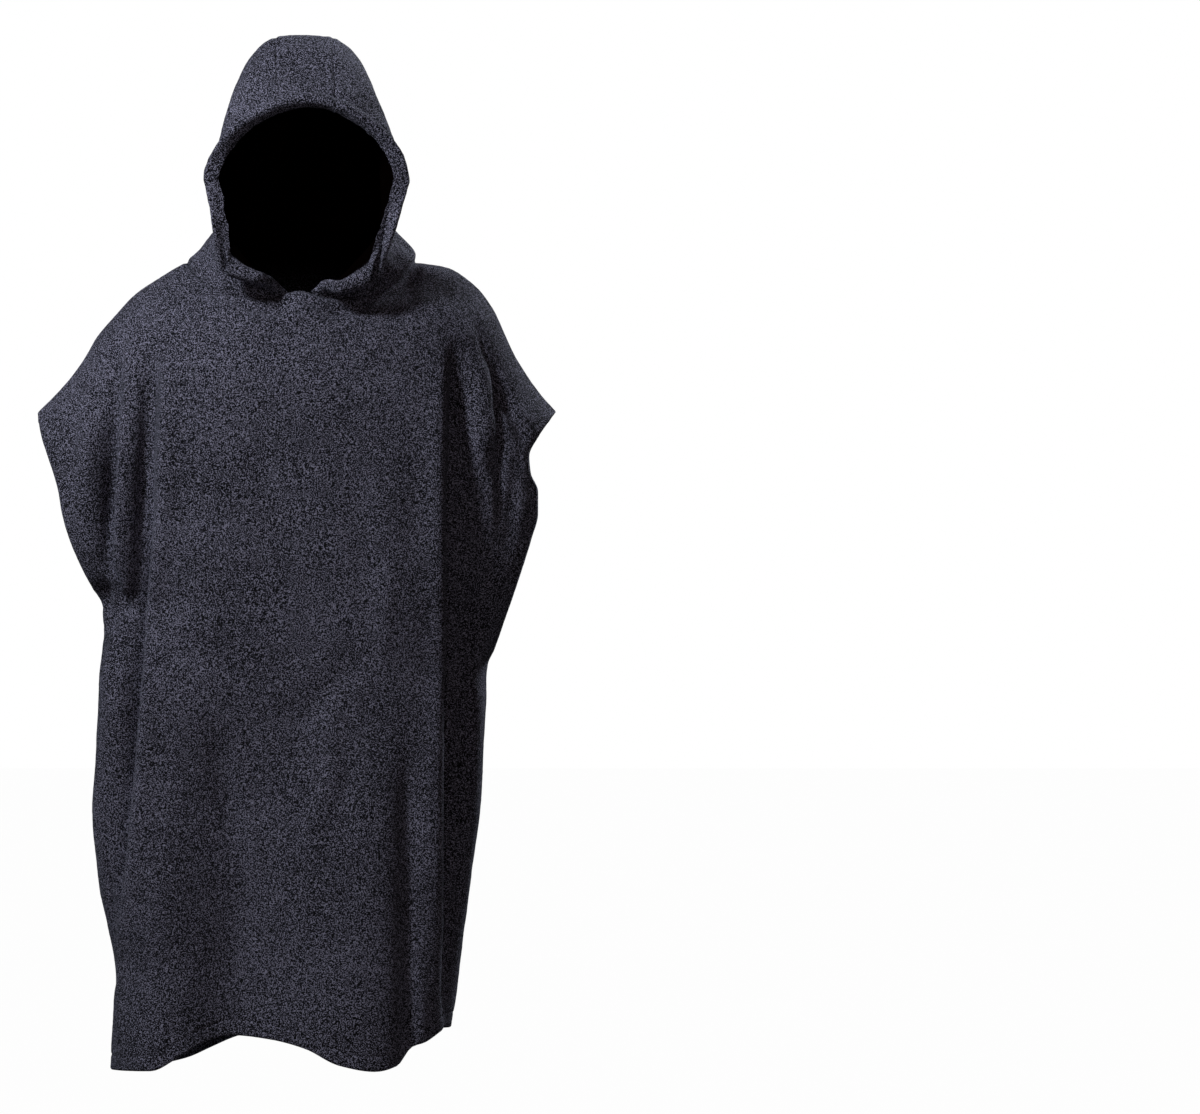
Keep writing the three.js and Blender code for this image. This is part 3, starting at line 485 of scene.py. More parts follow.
def top_edge(panel, side, share):
    hand = HAND[side]
    turn = np.arcsin(np.clip(share / AT_NECK, 0, 1))
    neck = neck_point(hand * (turn if panel == "front" else math.pi - turn))
    along = np.clip((share - AT_NECK) / (1 - AT_NECK), 0, 1)
    x = hand * lookup(SHOULDER, "share", side, along)
    seam = np.stack([x, 0 * x + SHOULDER_Y, lookup(SHOULDER, "share", side + "Z", along)], -1)
    return np.where((share <= AT_NECK)[:, None], neck, seam)


def steps(start, *rows):
    """Grid places from a start, out of (place, number of steps to it)."""
    places = [np.array([start], float)]
    for to, count in rows:
        count = max(1, round(count * DETAIL))
        places.append(np.linspace(places[-1][-1], to, count + 1)[1:])
    return np.concatenate(places)


# Main creases of the panels. Each is a line through places on the panel, (x, z) in a front view,
# with its width and depth there: a soft trough, or a ridge where the depth is negative.
CREASES = {
    "front": [
        ([(-244, -105), (-249, -220), (-256, -330), (-262, -455)], [8, 9, 10, 9], [0, 9, 12, 7]),
        ([(-282, -150), (-284, -240), (-290, -330)], [10, 12, 10], [0, -6, -2]),
        ([(-303, -190), (-306, -260), (-312, -330)], [9, 10, 9], [0, 5, 1]),
        ([(-203, -110), (-206, -200), (-212, -310), (-220, -450)], [8, 9, 9, 9], [0, 6, 8, 5]),
        ([(-262, -600), (-264, -720), (-262, -850), (-250, -960)], [20, 24, 24, 18], [0, 12, 16, 6]),
        ([(232, -70), (250, -120), (278, -190), (300, -236)], [10, 10, 11, 8], [0, 5, 9, 4]),
        ([(243, -120), (246, -230), (240, -340)], [11, 13, 11], [0, -5, 0]),
        ([(292, -255), (287, -330), (278, -420)], [9, 11, 10], [0, 6, 0]),
        ([(232, -330), (226, -470), (222, -640), (214, -860)], [14, 16, 16, 12], [2, 12, 14, 4]),
        ([(82, -250), (78, -330), (86, -420), (98, -500)], [17, 20, 20, 16], [0, 4.5, 4.5, 0]),
        ([(118, -395), (116, -470), (112, -560)], [9, 11, 10], [0, -3.5, 0]),
        ([(118, -520), (72, -545), (28, -590), (8, -650)], [16, 18, 16, 12], [0, 3.5, 5, 1]),
        ([(-196, -480), (-150, -512), (-108, -520), (-60, -580)], [9, 10, 11, 12], [0, 3.5, 4, 0]),
        ([(-185, -535), (-140, -530), (-104, -536)], [7, 8, 7], [0, 2.5, 0]),
        ([(-178, -470), (-150, -490), (-128, -498)], [6, 7, 6], [0, 2.4, 0]),
        ([(-118, -610), (-110, -670), (-96, -730), (-80, -800)], [16, 19, 18, 15], [0, 6, 6, 0]),
        ([(-86, -620), (-72, -710), (-56, -790), (-52, -850)], [12, 13, 12, 10], [0, -4, -4, 0]),
        ([(-12, -560), (-6, -620), (-4, -700)], [18, 20, 16], [0, 4.5, 0]),
        ([(52, -590), (46, -680), (26, -760), (8, -830)], [13, 15, 14, 12], [0, -4.5, -4.5, 0]),
        ([(76, -630), (70, -720), (60, -800)], [11, 13, 11], [0, 4, 0]),
        ([(-92, -790), (-90, -900), (-96, -1060)], [34, 40, 40], [0, 6, 7]),
        ([(-14, -850), (-20, -960), (-10, -1080)], [26, 30, 30], [0, 5, 6]),
        ([(6, -852), (38, -866), (72, -862)], [5, 6, 5], [0, 2.2, 0]),
        ([(158, -900), (164, -990), (168, -1060)], [8, 9, 9], [0, -4, -4]),
        ([(-104, -40), (-68, -62), (-32, -68), (-8, -56)], [8, 9, 9, 8], [2, 6, 6, 2]),
        ([(20, -56), (46, -70), (80, -64), (112, -38)], [8, 9, 9, 8], [2, 6, 6, 2]),
        ([(268, -130), (268, -200), (270, -280), (270, -350)], [6, 7, 7, 6], [0, 8, 9, 3]),
        ([(-150, -60), (-120, -95), (-110, -160)], [16, 20, 16], [0, 3.5, 0]),
        ([(140, -50), (128, -95), (120, -170)], [16, 20, 16], [0, 3.5, 0]),
        ([(-40, -180), (-52, -280), (-38, -380)], [22, 26, 22], [0, 3, 0]),
        ([(150, -200), (158, -330), (152, -480)], [16, 20, 16], [0, 3.5, 0]),
    ],
    "back": [
        ([(262, -105), (266, -220), (272, -330), (270, -440)], [9, 10, 11, 9], [0, 8, 10, 3]),
        ([(284, -150), (288, -240), (292, -330)], [10, 12, 10], [0, -5, -2]),
        ([(226, -95), (230, -200), (236, -330)], [9, 11, 10], [0, 6, 2]),
        ([(-262, -110), (-268, -230), (-276, -340)], [9, 11, 10], [0, 8, 2]),
        ([(-238, -620), (-246, -760), (-240, -920)], [18, 22, 16], [0, 10, 2]),
        ([(222, -600), (214, -760), (204, -900)], [16, 18, 14], [0, 10, 2]),
        ([(-84, -240), (-80, -340), (-92, -440)], [18, 22, 18], [0, 4, 0]),
        ([(60, -300), (66, -400), (54, -520)], [18, 22, 18], [0, 4, 0]),
        ([(-120, -660), (-124, -760), (-129, -912)], [14, 16, 14], [0, -6, 0]),
        ([(-78, -700), (-74, -790), (-70, -900)], [12, 14, 12], [0, -4, 0]),
        ([(-100, -640), (-98, -760), (-98, -900)], [14, 16, 14], [0, 5, 0]),
        ([(14, -560), (10, -680), (20, -800)], [20, 24, 20], [0, 5, 0]),
        ([(96, -600), (88, -700), (70, -800)], [14, 16, 14], [0, -4, 0]),
        ([(120, -840), (128, -940), (126, -1060)], [24, 28, 28], [0, 6, 7]),
        ([(-20, -860), (-26, -960), (-22, -1060)], [28, 32, 32], [0, 6, 6]),
        ([(60, -900), (58, -990), (62, -1070)], [18, 22, 22], [0, -5, -6]),
        ([(-160, -480), (-110, -520), (-70, -570)], [10, 12, 11], [0, 3.5, 0]),
        ([(150, -500), (104, -540), (70, -600)], [10, 12, 11], [0, 3.5, 0]),
        ([(-70, -20), (0, -34), (70, -18)], [16, 20, 16], [2, 3, 2]),
    ],
}
# Those of the hood, by hand or 0 for the centre strip, go through places (x, y, z) in space.
HOOD_CREASES = {
    -1: [
        ([(-60, -88, 242), (-90, -78, 200), (-112, -74, 150)], [14, 16, 14], [0, 3.5, 0]),
        ([(-108, -40, 190), (-110, -20, 120), (-118, -20, 50)], [16, 20, 16], [0, 4, 2]),
        ([(-100, 60, 130), (-70, 105, 95), (-40, 116, 92)], [12, 15, 12], [1, 8, 7]),
        ([(-110, 20, 70), (-104, 70, 52), (-80, 100, 44)], [11, 13, 11], [0, 6, 3]),
        ([(-86, 66, 190), (-64, 108, 150), (-40, 118, 140)], [14, 17, 14], [0, -5, -3]),
        ([(-112, -86, 10), (-104, -72, -14), (-80, -76, -34)], [8, 9, 8], [0, 4, 2]),
        ([(-126, -20, 40), (-138, -10, 16), (-146, 0, 2)], [9, 10, 9], [0, 4, 0]),
    ],
    1: [
        ([(70, -88, 240), (98, -80, 200), (126, -74, 150)], [14, 16, 14], [0, 4, 0]),
        ([(118, -40, 190), (118, -20, 120), (126, -20, 50)], [16, 20, 16], [0, 4, 2]),
        ([(108, 60, 130), (80, 105, 95), (50, 116, 92)], [12, 15, 12], [1, 8, 7]),
        ([(116, 20, 72), (108, 70, 54), (84, 100, 46)], [11, 13, 11], [0, 6, 3]),
        ([(96, 66, 190), (72, 108, 150), (48, 118, 140)], [14, 17, 14], [0, -5, -3]),
        ([(124, -86, 16), (116, -72, -10), (92, -76, -34)], [8, 9, 8], [0, 4, 2]),
        ([(132, -20, 44), (146, -10, 20), (152, 0, 4)], [9, 10, 9], [0, 4, 0]),
    ],
    0: [
        ([(-34, 116, 93), (5, 118, 90), (44, 116, 93)], [14, 15, 14], [7, 8, 7]),
        ([(-34, 118, 142), (5, 121, 146), (44, 118, 142)], [16, 17, 16], [-3, -4, -3]),
        ([(-30, -58, 262), (0, -50, 270), (36, -54, 264)], [12, 14, 12], [1, 2.5, 1]),
    ],
}


def crease_depth(points, lines):
    """How deep the creases are at grid points. Each line: places (n, 3), widths, depths."""
    depth = np.zeros(points.shape[:-1])
    for places, widths, depths in lines:
        nearest = np.full(depth.shape, 1e9)
        here = np.zeros(depth.shape)
        for i in range(len(places) - 1):
            a, b = places[i], places[i + 1]
            line = b - a
            t = np.clip((points - a) @ line / (line @ line), 0, 1)
            offset = points - (a + t[..., None] * line)
            distance = np.linalg.norm(offset, axis=-1)
            width = mix(widths[i], widths[i + 1], t)
            value = mix(depths[i], depths[i + 1], t) * bell(distance, width)
            closer = distance < nearest
            here = np.where(closer, value, here)
            nearest = np.minimum(nearest, distance)
        depth += here
    return depth


def grid_normals(grid):
    across, down = np.gradient(grid, axis=1), np.gradient(grid, axis=0)
    return unit(np.cross(across, down))


def soft_noise(points, size, seed):
    """Smooth noise from -1 to 1 with bumps about that size, in millimetres."""
    flat = points.reshape(-1, 3) / size + seed
    values = np.array([noise.noise(Vector(p)) for p in flat])
    return values.reshape(points.shape[:-1])


def unevenness(points, rows, seed_shift=0):
    """Soft bumps added up, out of rows of height, size and seed."""
    return sum(height * soft_noise(points, size, seed + seed_shift) for height, size, seed in rows)


def make_piece(name, node, outer, inner, painted_inner_shade, material):
    """A closed thin shell out of the outer and inner grids of points, in millimetres. Its fifth
    argument is the painted shade of the inner side at its points, from 0 to 1."""
    high, wide = outer.shape[:2]
    points = np.concatenate([outer.reshape(-1, 3), inner.reshape(-1, 3)]) / 1000
    index = np.arange(high * wide).reshape(high, wide)
    a, b, c, d = index[:-1, :-1], index[1:, :-1], index[1:, 1:], index[:-1, 1:]
    front = np.stack([a, b, c, d], -1).reshape(-1, 4)
    back = front[:, ::-1] + high * wide
    edge = np.concatenate([index[:, 0], index[-1, 1:], index[-2::-1, -1], index[0, -2::-1]])
    p, q = edge[:-1], edge[1:]
    rim = np.stack([q, p, p + high * wide, q + high * wide], -1)
    faces = np.concatenate([front, back, rim])
    mesh = bpy.data.meshes.new(name)
    mesh.from_pydata(points.tolist(), [], faces.tolist())
    area = points[faces[:, :3]]
    volume = np.sum(np.einsum("ij,ij->i", area[:, 0], np.cross(area[:, 1], area[:, 2])))
    if volume < 0:
        mesh.flip_normals()
    mesh.polygons.foreach_set("use_smooth", np.ones(len(mesh.polygons), bool))
    mesh.materials.append(material)
    # Painted shade of the inner side, kept as a point attribute; the outer side gets none
    shade = mesh.attributes.new("painted_inner_shade", "FLOAT", "POINT")
    shade.data.foreach_set("value", np.concatenate([0 * painted_inner_shade.ravel(), painted_inner_shade.ravel()]))
    mesh.update()
    piece = bpy.data.objects.new(name, mesh)
    scene.collection.objects.link(piece)
    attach(piece, "root")
    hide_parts(node)
    return piece


def sheet_area(middle):
    """The area of a grid's surface in square metres."""
    across = middle[:-1, 1:] - middle[1:, :-1]
    down = middle[1:, 1:] - middle[:-1, :-1]
    return np.linalg.norm(np.cross(across, down), axis=-1).sum() / 2 / 1e6


def panel_surface(panel):
    side_columns = steps(
        0, (0.30, 22), (0.42, 10), (0.5, 14), (0.57, 8), (0.64, 10), (0.94, 17), (1, 7)
    )
    columns = np.concatenate([-side_columns[:0:-1], side_columns])
    drops = steps(0, (0.02, 10), (0.5, 130), (0.955, 118), (1, 26))
    half = []
    for side in ("left", "right"):
        share = np.abs(columns[columns < 0] if side == "left" else columns[columns >= 0])
        top = top_edge(panel, side, share)
        at = np.minimum(share, AT_OUTER)
        hem_x = level_points(panel, side, at, np.full_like(at, HEM_AT[panel]))[:, 0]
        height = top[:, 2] - lookup(HEM, "x", panel, hem_x)
        z = top[None, :, 2] - height * drops[:, None]
        point = level_points(panel, side, share[None], z)
        start = level_points(panel, side, share, top[:, 2])
        fade = smooth(1 - (start[None, :, 2] - z) / TOP_FADE)
        half.append(point + (top - start)[None] * fade[..., None])
    return columns, np.concatenate(half, 1)


def seam_depth(distance):
    """The groove of the neck seam and the ridge along it, at a distance from the seam."""
    groove = SEAM_GROOVE * bell(distance, SEAM_WIDTH)
    return groove - SEAM_RIDGE * bell(distance - SEAM_RIDGE_AT, SEAM_RIDGE_WIDTH)


def build_panel(panel):
    outward = OUTWARD[panel]
    columns, middle = panel_surface(panel)
    normal = grid_normals(middle)
    if np.sum(normal[..., 1]) * outward < 0:
        normal = -normal
    area = sheet_area(middle)
    from_top = np.cumsum(
        np.linalg.norm(np.diff(middle, axis=0, prepend=middle[:1]), axis=-1), axis=0
    )
    from_bottom = from_top[-1] - from_top
    from_side = np.cumsum(
        np.linalg.norm(np.diff(middle, axis=1, prepend=middle[:, :1]), axis=-1), axis=1
    )
    from_side = np.minimum(from_side, from_side[:, -1:] - from_side)
    in_neck = np.abs(columns) <= AT_NECK
    turn = np.arcsin(np.clip(columns / AT_NECK, -1, 1))
    seam_out, seam_up = neck_frame(turn if panel == "front" else math.pi - turn)
    blend = (smooth(1 - from_top / SEAM_TURN) * in_neck[None])[..., None]
    normal = unit(mix(normal, seam_out[None], blend))
    sewn_side = smooth((CUFF_END_Z + CUFF_CLOSE - middle[..., 2]) / CUFF_CLOSE)
    outside = np.zeros_like(middle)
    outside[..., 0] = np.sign(columns)[None]
    blend = (smooth(1 - from_side / SEAM_TURN) * sewn_side)[..., None]
    normal = unit(mix(normal, outside, blend))
    lines = [line_on(middle, normal, outward, *crease) for crease in CREASES[panel]]
    depth = crease_depth(middle, lines) - unevenness(middle, PANEL_UNEVEN, outward)
    depth *= smooth(from_top / PANEL_TOP_CALM) * smooth(from_side / PANEL_SIDE_CALM)
    depth += seam_depth(from_top) - unevenness(middle, PANEL_PILE)
    depth += SEAM_GROOVE * bell(from_side, SEAM_WIDTH) * sewn_side
    cuff = smooth((TIP_Z - middle[..., 2]) / CUFF_FADE) * (1 - sewn_side)
    depth += STITCH_GROOVE * bell(from_side - HEM_DEPTH, STITCH_WIDTH) * cuff
    depth += STITCH_GROOVE * bell(from_bottom - HEM_DEPTH, STITCH_WIDTH)
    middle = middle - normal * depth[..., None]
    on_seam = middle[0]
    on_seam[in_neck] -= seam_up[in_neck] * HALF_SEAM_GAP
    on_seam[~in_neck, 1] += outward * HALF_SEAM_GAP
    for column in (0, -1):
        sewn_rows = middle[:, column, 2] <= CUFF_END_Z
        middle[sewn_rows, column, 1] += outward * HALF_SEAM_GAP
    side_hem = smooth((HEM_DEPTH - from_side) / 3) * cuff
    hemmed = np.maximum(smooth((HEM_DEPTH - from_bottom) / 3), side_hem)
    edge = np.minimum(from_bottom, np.where(cuff > 0.5, from_side, 1e9))
    rounding = np.sqrt(np.clip(edge / EDGE_ROUND, 0.03, 1))
    outer = middle + normal * (CLOTH / 2 * rounding)[..., None]
    thick = (CLOTH / 2 + (HEM_CLOTH - CLOTH) * hemmed) * rounding
    inner = middle - normal * thick[..., None]
    # Painted shade on the inner side: none at the hem and cuff edges, darker away from them, darkest
    # just below the neck seam
    at_neck = smooth(1 - from_top / INNER_SHADE_BELOW_NECK) * in_neck[None]
    painted_inner_shade = np.maximum(INNER_SHADE_MOST * smooth((edge - INNER_SHADE_FROM) / INNER_SHADE_OVER), at_neck)
    return outer, inner, painted_inner_shade, area


def line_on(middle, normal, outward, places, widths, depths):
    """A crease's places (x, z) brought onto the panel, at its front-most point there."""
    facing = normal[..., 1] * outward > -0.2
    spots = []
    for x, z in places:
        away = (middle[..., 0] - x) ** 2 + (middle[..., 2] - z) ** 2 + np.where(facing, 0, 1e6)
        spots.append(middle[np.unravel_index(np.argmin(away), away.shape)])
    return np.array(spots), widths, depths


# Hood
def arch_curve(run, hand):
    size = {name: lookup(ARCHES, "run", name, run) for name in ARCHES if name != "run"}
    foot = neck_point(np.radians(size["seam"]))
    height = 1 - np.linspace(0, 1, ARCH_POINTS) ** 2
    above = np.clip((height - size["widest"]) / (1 - size["widest"]), 0, 1)
    dome = np.maximum(0, 1 - above ** size["round"]) ** (1 / size["round"])
    widest = size["widest"]
    below = np.clip(1 - height / widest, 0, 1) if widest > 0 else 0 * height
    wide = size["half"] * dome * (1 - size["taper"] * below)
    rise = np.clip(1 - height / size["foot"], 0, 1)
    in_foot = mix(smooth(rise), rise ** size["bend"], smooth(run / CHIN_RUN))
    z = mix(foot[2], size["z"], height)
    x = hand * mix(wide, foot[0], in_foot) + size["lean"] * smooth((z - LEAN_FROM) / LEAN_OVER)
    points = np.stack([x, mix(foot[1], size["y"], height), z], -1)
    step = np.linalg.norm(np.diff(points, axis=0), axis=1)
    return points, np.concatenate([[0], np.cumsum(step)])


def hood_row(hand, shares, run):
    """The hood's middle surface along one arch. The share is 0 at the strip's edge, 1 at the
    foot of the side panel and -1 at the middle of the strip."""
    points, lengths = arch_curve(run, hand)
    whole = lengths[-1]
    side = shares >= 0
    size = np.abs(shares)
    length = np.where(side, mix(STRIP_HALF_WIDTH, whole, size), mix(STRIP_HALF_WIDTH, 0, size))
    foot = ARCHES["seam"][-1]
    turn = np.where(side, mix(STRIP_SEAM, foot, size), mix(STRIP_SEAM, 180, size))
    row = np.stack([np.interp(length, lengths, points[:, k]) for k in range(3)], -1)
    from_foot = whole - length
    chin = smooth(from_foot / CHIN_START) * (1 - smooth((from_foot - CHIN_FULL) / CHIN_END))
    near = chin * (1 - smooth(run / CHIN_RUN))
    row[:, 1] -= CHIN_FORWARD * near
    row[:, 2] -= CHIN_SAG[hand] * near**2
    out, peak, fade, place, reach = SHOULDER_LUMPS[hand]
    lump = smooth(from_foot / peak) * smooth(1 - (from_foot - peak) / fade)
    row[:, 0] += hand * out * lump * bell(run - place, reach)
    seam = neck_point(hand * np.radians(turn))
    return mix(row, seam, smooth((run - SEAM_BLEND) / (1 - SEAM_BLEND)))


def build_hood_piece(which):
    """which is -1 or 1 for a side panel, or 0 for the centre strip."""
    runs = steps(0, (ROLL_RUN, 18), (0.06, 4), (0.94, 100), (1, 12))
    if which:
        shares = steps(0, (0.06, 10), (0.9, 90), (1, 22))
        middle = np.stack([hood_row(which, shares, run) for run in runs])
    else:
        shares = steps(-1, (-0.2, 14), (0, 8))
        left = np.stack([hood_row(-1, shares[::-1], run) for run in runs])
        right = np.stack([hood_row(1, shares[1:], run) for run in runs])
        middle = np.concatenate([left, right], 1)
    normal = grid_normals(middle)
    if np.sum(normal * (middle - np.array(HOOD_MIDDLE))) < 0:
        normal = -normal
    area = sheet_area(middle)
    angle = np.arctan2(middle[..., 0] / HALF_WIDTH, (SHOULDER_Y - middle[..., 1]) / HALF_DEPTH)
    seam_out, seam_up = neck_frame(angle)
    across = np.linalg.norm(np.diff(middle, axis=1, prepend=middle[:, :1]), axis=-1)
    from_strip = np.cumsum(across, axis=1)
    from_foot = from_strip[:, -1:] - from_strip
    along = np.linalg.norm(np.diff(middle, axis=0, prepend=middle[:1]), axis=-1)
    from_rim = np.cumsum(along, axis=0)
    from_back = from_rim[-1:] - from_rim
    to_neck = np.minimum(from_back, from_foot) if which else from_back
    to_strip = from_strip if which else np.minimum(from_strip, from_foot)
    normal = unit(mix(normal, seam_out, smooth(1 - to_neck / SEAM_TURN)[..., None]))
    lines = [
        (np.array(places, float), widths, depths)
        for places, widths, depths in HOOD_CREASES[which]
    ]
    depth = crease_depth(middle, lines) - unevenness(middle, HOOD_UNEVEN)
    depth *= smooth(to_neck / NECK_CALM) * smooth(to_strip / STRIP_CALM)
    depth += seam_depth(to_neck) - unevenness(middle, HOOD_PILE)
    depth += STRIP_GROOVE * bell(to_strip, STRIP_WIDTH)
    depth -= STRIP_RIDGE * bell(to_strip - STRIP_RIDGE_AT, STRIP_RIDGE_WIDTH)
    run_grid = np.broadcast_to(runs[:, None], depth.shape)
    in_roll = np.clip(run_grid / ROLL_RUN, 0, 1) * ROLL_DEPTH
    stitches = ROLL_STITCH_GROOVE * bell(in_roll - ROLL_DEPTH, STITCH_WIDTH)
    depth += stitches * (run_grid < ROLL_STITCH_END)
    middle = middle - normal * depth[..., None]
    half_roll = np.clip((in_roll - ROLL_DEPTH / 2) / (ROLL_DEPTH / 2), -1, 1)
    bulge = np.sqrt(1 - half_roll**2) * (1 + unevenness(middle, ROLL_PUFF))
    rounding = np.sqrt(np.clip(in_roll / CLOTH, 0.02, 1))
    base = np.where(in_roll < ROLL_DEPTH / 2, rounding, 1) * CLOTH / 2
    from_end = (1 - shares) if which else np.ones(middle.shape[1])
    full = mix(ROLL_AT_FOOT, 1, smooth(from_end / ROLL_FOOT_SHARE))
    thick_out = base + (ROLL_OUTER * full - CLOTH / 2) * bulge
    thick_in = base + (ROLL_INNER * full - CLOTH / 2) * bulge
    if which:
        middle[:, -1] += seam_up[:, -1] * HALF_SEAM_GAP
    middle[-1] += seam_up[-1] * HALF_SEAM_GAP
    outer = middle + normal * thick_out[..., None]
    inner = middle - normal * thick_in[..., None]
    # Painted shade on the hood's inner side, from the back of the roll inwards
    painted_inner_shade = smooth((run_grid - 0.8 * ROLL_RUN) / (0.25 * ROLL_RUN))
    return outer, inner, painted_inner_shade, area


# Materials
LOOP_SCALE, CLUMP_SCALE, SLOW_SCALE = 700, 420, 9
LOOP_SHARE, PILE_SHARE = 0.68, 0.92
DARK_TONE, LIGHT_TONE = 0.49, 0.61
SHINE, SHEEN = 0.12, 0.06


def terry(name, dark, light, painted_shade_colour):
    """Dense terry pile: fine loops of uneven tone, soft clumps and a slow change of colour. Its
    inner side falls off to painted shade: the near-black colour given last, without shine or sheen."""
    material = bpy.data.materials.new(name)
    material.use_nodes = True
    nodes, links = material.node_tree.nodes, material.node_tree.links
    shader = nodes["Principled BSDF"]
    place = nodes.new("ShaderNodeTexCoord")

    def noise_at(scale, detail, rough=0.5):
        node = nodes.new("ShaderNodeTexNoise")
        node.inputs["Scale"].default_value = scale
        node.inputs["Detail"].default_value = detail
        node.inputs["Roughness"].default_value = rough
        links.new(place.outputs["Object"], node.inputs["Vector"])
        return node.outputs["Fac"]

    def math_node(kind, a, b):
        node = nodes.new("ShaderNodeMath")
        node.operation = kind
        for socket, value in zip(node.inputs, (a, b)):
            if isinstance(value, (int, float)):
                socket.default_value = value
            else:
                links.new(value, socket)
        return node.outputs[0]

    def blend_nodes(a, b, share):
        first, second = math_node("MULTIPLY", a, share), math_node("MULTIPLY", b, 1 - share)
        return math_node("ADD", first, second)

    loops = noise_at(LOOP_SCALE, 0)
    clumps = noise_at(CLUMP_SCALE, 2, 0.55)
    height = blend_nodes(loops, clumps, LOOP_SHARE)
    tone = blend_nodes(height, noise_at(SLOW_SCALE, 2), PILE_SHARE)
    ramp = nodes.new("ShaderNodeValToRGB")
    ramp.color_ramp.elements[0].position = DARK_TONE
    ramp.color_ramp.elements[0].color = (*dark, 1)
    ramp.color_ramp.elements[1].position = LIGHT_TONE
    ramp.color_ramp.elements[1].color = (*light, 1)
    links.new(tone, ramp.inputs[0])
    # Painted shade: the inner side's attribute mixes the pile colour toward a near-black shade
    # colour and takes away its shine and sheen
    painted_inner_shade = nodes.new("ShaderNodeAttribute")
    painted_inner_shade.attribute_name = "painted_inner_shade"
    shade = nodes.new("ShaderNodeMix")
    shade.data_type = "RGBA"
    links.new(painted_inner_shade.outputs["Fac"], shade.inputs["Factor"])
    links.new(ramp.outputs[0], shade.inputs["A"])
    shade.inputs["B"].default_value = (*painted_shade_colour, 1)
    links.new(shade.outputs["Result"], shader.inputs["Base Color"])
    lit_side = math_node("SUBTRACT", 1.0, painted_inner_shade.outputs["Fac"])
    links.new(math_node("MULTIPLY", lit_side, SHINE), shader.inputs["Specular IOR Level"])
    links.new(math_node("MULTIPLY", lit_side, SHEEN), shader.inputs["Sheen Weight"])
    bump = nodes.new("ShaderNodeBump")
    bump.inputs["Strength"].default_value = 0.9
    bump.inputs["Distance"].default_value = 0.0014
    links.new(height, bump.inputs["Height"])
    links.new(bump.outputs[0], shader.inputs["Normal"])
    shader.inputs["Roughness"].default_value = 0.95
    shader.inputs["Sheen Roughness"].default_value = 0.6
    shader.inputs["Sheen Tint"].default_value = (0.55, 0.58, 0.7, 1)
    return material


# Pile tones of the towelling, and the near-black reddish colour of painted shade on its inner side
GROUND, LOOPS, INNER_SHADE_COLOUR = (0.001, 0.001, 0.0015), (0.235, 0.225, 0.3), (0.0012, 0.0006, 0.0005)
towelling = terry("towelling", GROUND, LOOPS, INNER_SHADE_COLOUR)

for panel in ("front", "back"):
    outer, inner, painted_inner_shade, area = build_panel(panel)
    node = panel + "_panel"
    piece = make_piece(node + "_towelling", node, outer, inner, painted_inner_shade, towelling)
for which, node in ((-1, "hood_side_left"), (1, "hood_side_right"), (0, "hood_centre_strip")):
    outer, inner, painted_inner_shade, area = build_hood_piece(which)
    piece = make_piece(node + "_towelling", node, outer, inner, painted_inner_shade, towelling)


# Light, floor and background
def area_light(name, place, aim, size, power, colour):
    data = bpy.data.lights.new(name, "AREA")
    data.shape = "DISK"
    data.size = size
    data.energy = power
    data.color = colour
    lamp = bpy.data.objects.new(name, data)
    lamp.location = place
    lamp.rotation_euler = (Vector(aim) - Vector(place)).to_track_quat("-Z", "Y").to_euler()
    scene.collection.objects.link(lamp)


area_light("key", (-1.5, -1.5, 1.5), (0, 0, -0.35), 0.5, 62, (0.88, 0.94, 1.0))
area_light("rear", (1.5, 1.5, 1.5), (0, 0, -0.35), 0.5, 62, (0.88, 0.94, 1.0))
area_light("front", (0.5, -3.6, 0.0), (0, 0, -0.4), 1.8, 12, (1.0, 0.93, 0.9))
area_light("behind", (-0.5, 3.6, 0.0), (0, 0, -0.4), 1.8, 12, (1.0, 0.93, 0.9))

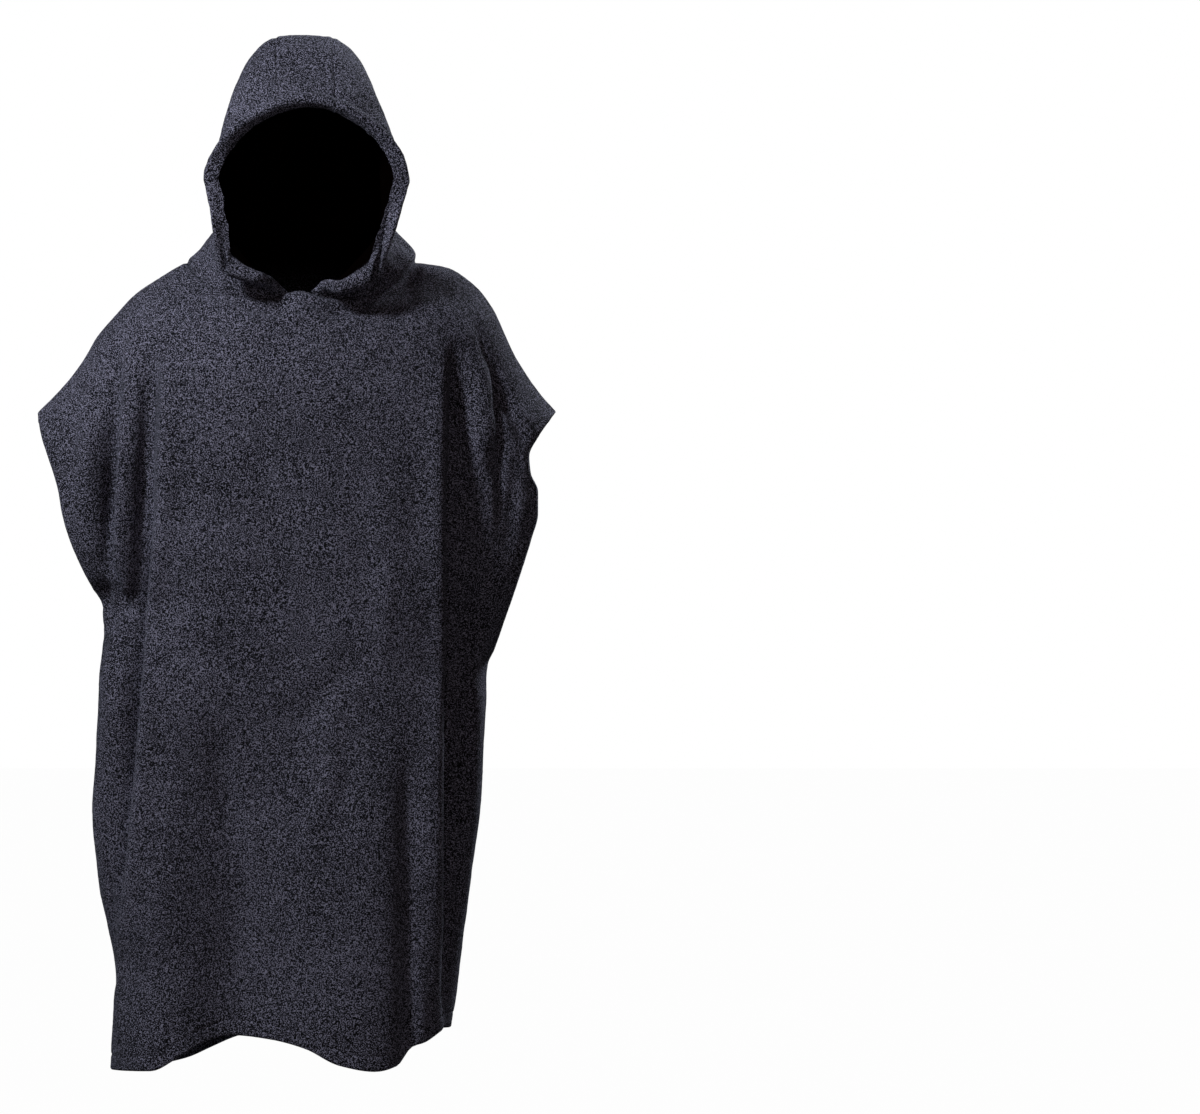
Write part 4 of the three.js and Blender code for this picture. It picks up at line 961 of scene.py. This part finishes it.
world = bpy.data.worlds.new("studio")
world.use_nodes = True
nodes, links = world.node_tree.nodes, world.node_tree.links
nodes.clear()
seen, lit = nodes.new("ShaderNodeBackground"), nodes.new("ShaderNodeBackground")
seen.inputs["Color"].default_value = (1, 1, 1, 1)
seen.inputs["Strength"].default_value = 1.0
lit.inputs["Color"].default_value = (0.85, 0.55, 0.45, 1)
lit.inputs["Strength"].default_value = 0.03
rays = nodes.new("ShaderNodeLightPath")
chosen = nodes.new("ShaderNodeMixShader")
output = nodes.new("ShaderNodeOutputWorld")
links.new(rays.outputs["Is Camera Ray"], chosen.inputs[0])
links.new(lit.outputs[0], chosen.inputs[1])
links.new(seen.outputs[0], chosen.inputs[2])
links.new(chosen.outputs[0], output.inputs["Surface"])
scene.world = world

FLOOR_Z = -1.45
floor_mesh = bpy.data.meshes.new("floor")
corners = [(-40, -40), (40, -40), (40, 40), (-40, 40)]
floor_mesh.from_pydata([(x, y, FLOOR_Z) for x, y in corners], [], [(0, 1, 2, 3)])
floor = bpy.data.objects.new("floor", floor_mesh)
scene.collection.objects.link(floor)
pale = bpy.data.materials.new("pale_floor")
pale.use_nodes = True
nodes, links = pale.node_tree.nodes, pale.node_tree.links
shader = nodes["Principled BSDF"]
shader.inputs["Base Color"].default_value = (0.12, 0.12, 0.12, 1)
shader.inputs["Roughness"].default_value = 0.9
shader.inputs["Specular IOR Level"].default_value = 0.1
glow = nodes.new("ShaderNodeEmission")
glow.inputs["Color"].default_value = (1, 1, 1, 1)
rays = nodes.new("ShaderNodeLightPath")
share = nodes.new("ShaderNodeMath")
share.operation = "MULTIPLY"
share.inputs[1].default_value = 0.985
chosen = nodes.new("ShaderNodeMixShader")
links.new(rays.outputs["Is Camera Ray"], share.inputs[0])
links.new(share.outputs[0], chosen.inputs[0])
links.new(shader.outputs[0], chosen.inputs[1])
links.new(glow.outputs[0], chosen.inputs[2])
links.new(chosen.outputs[0], nodes["Material Output"].inputs["Surface"])
floor_mesh.materials.append(pale)
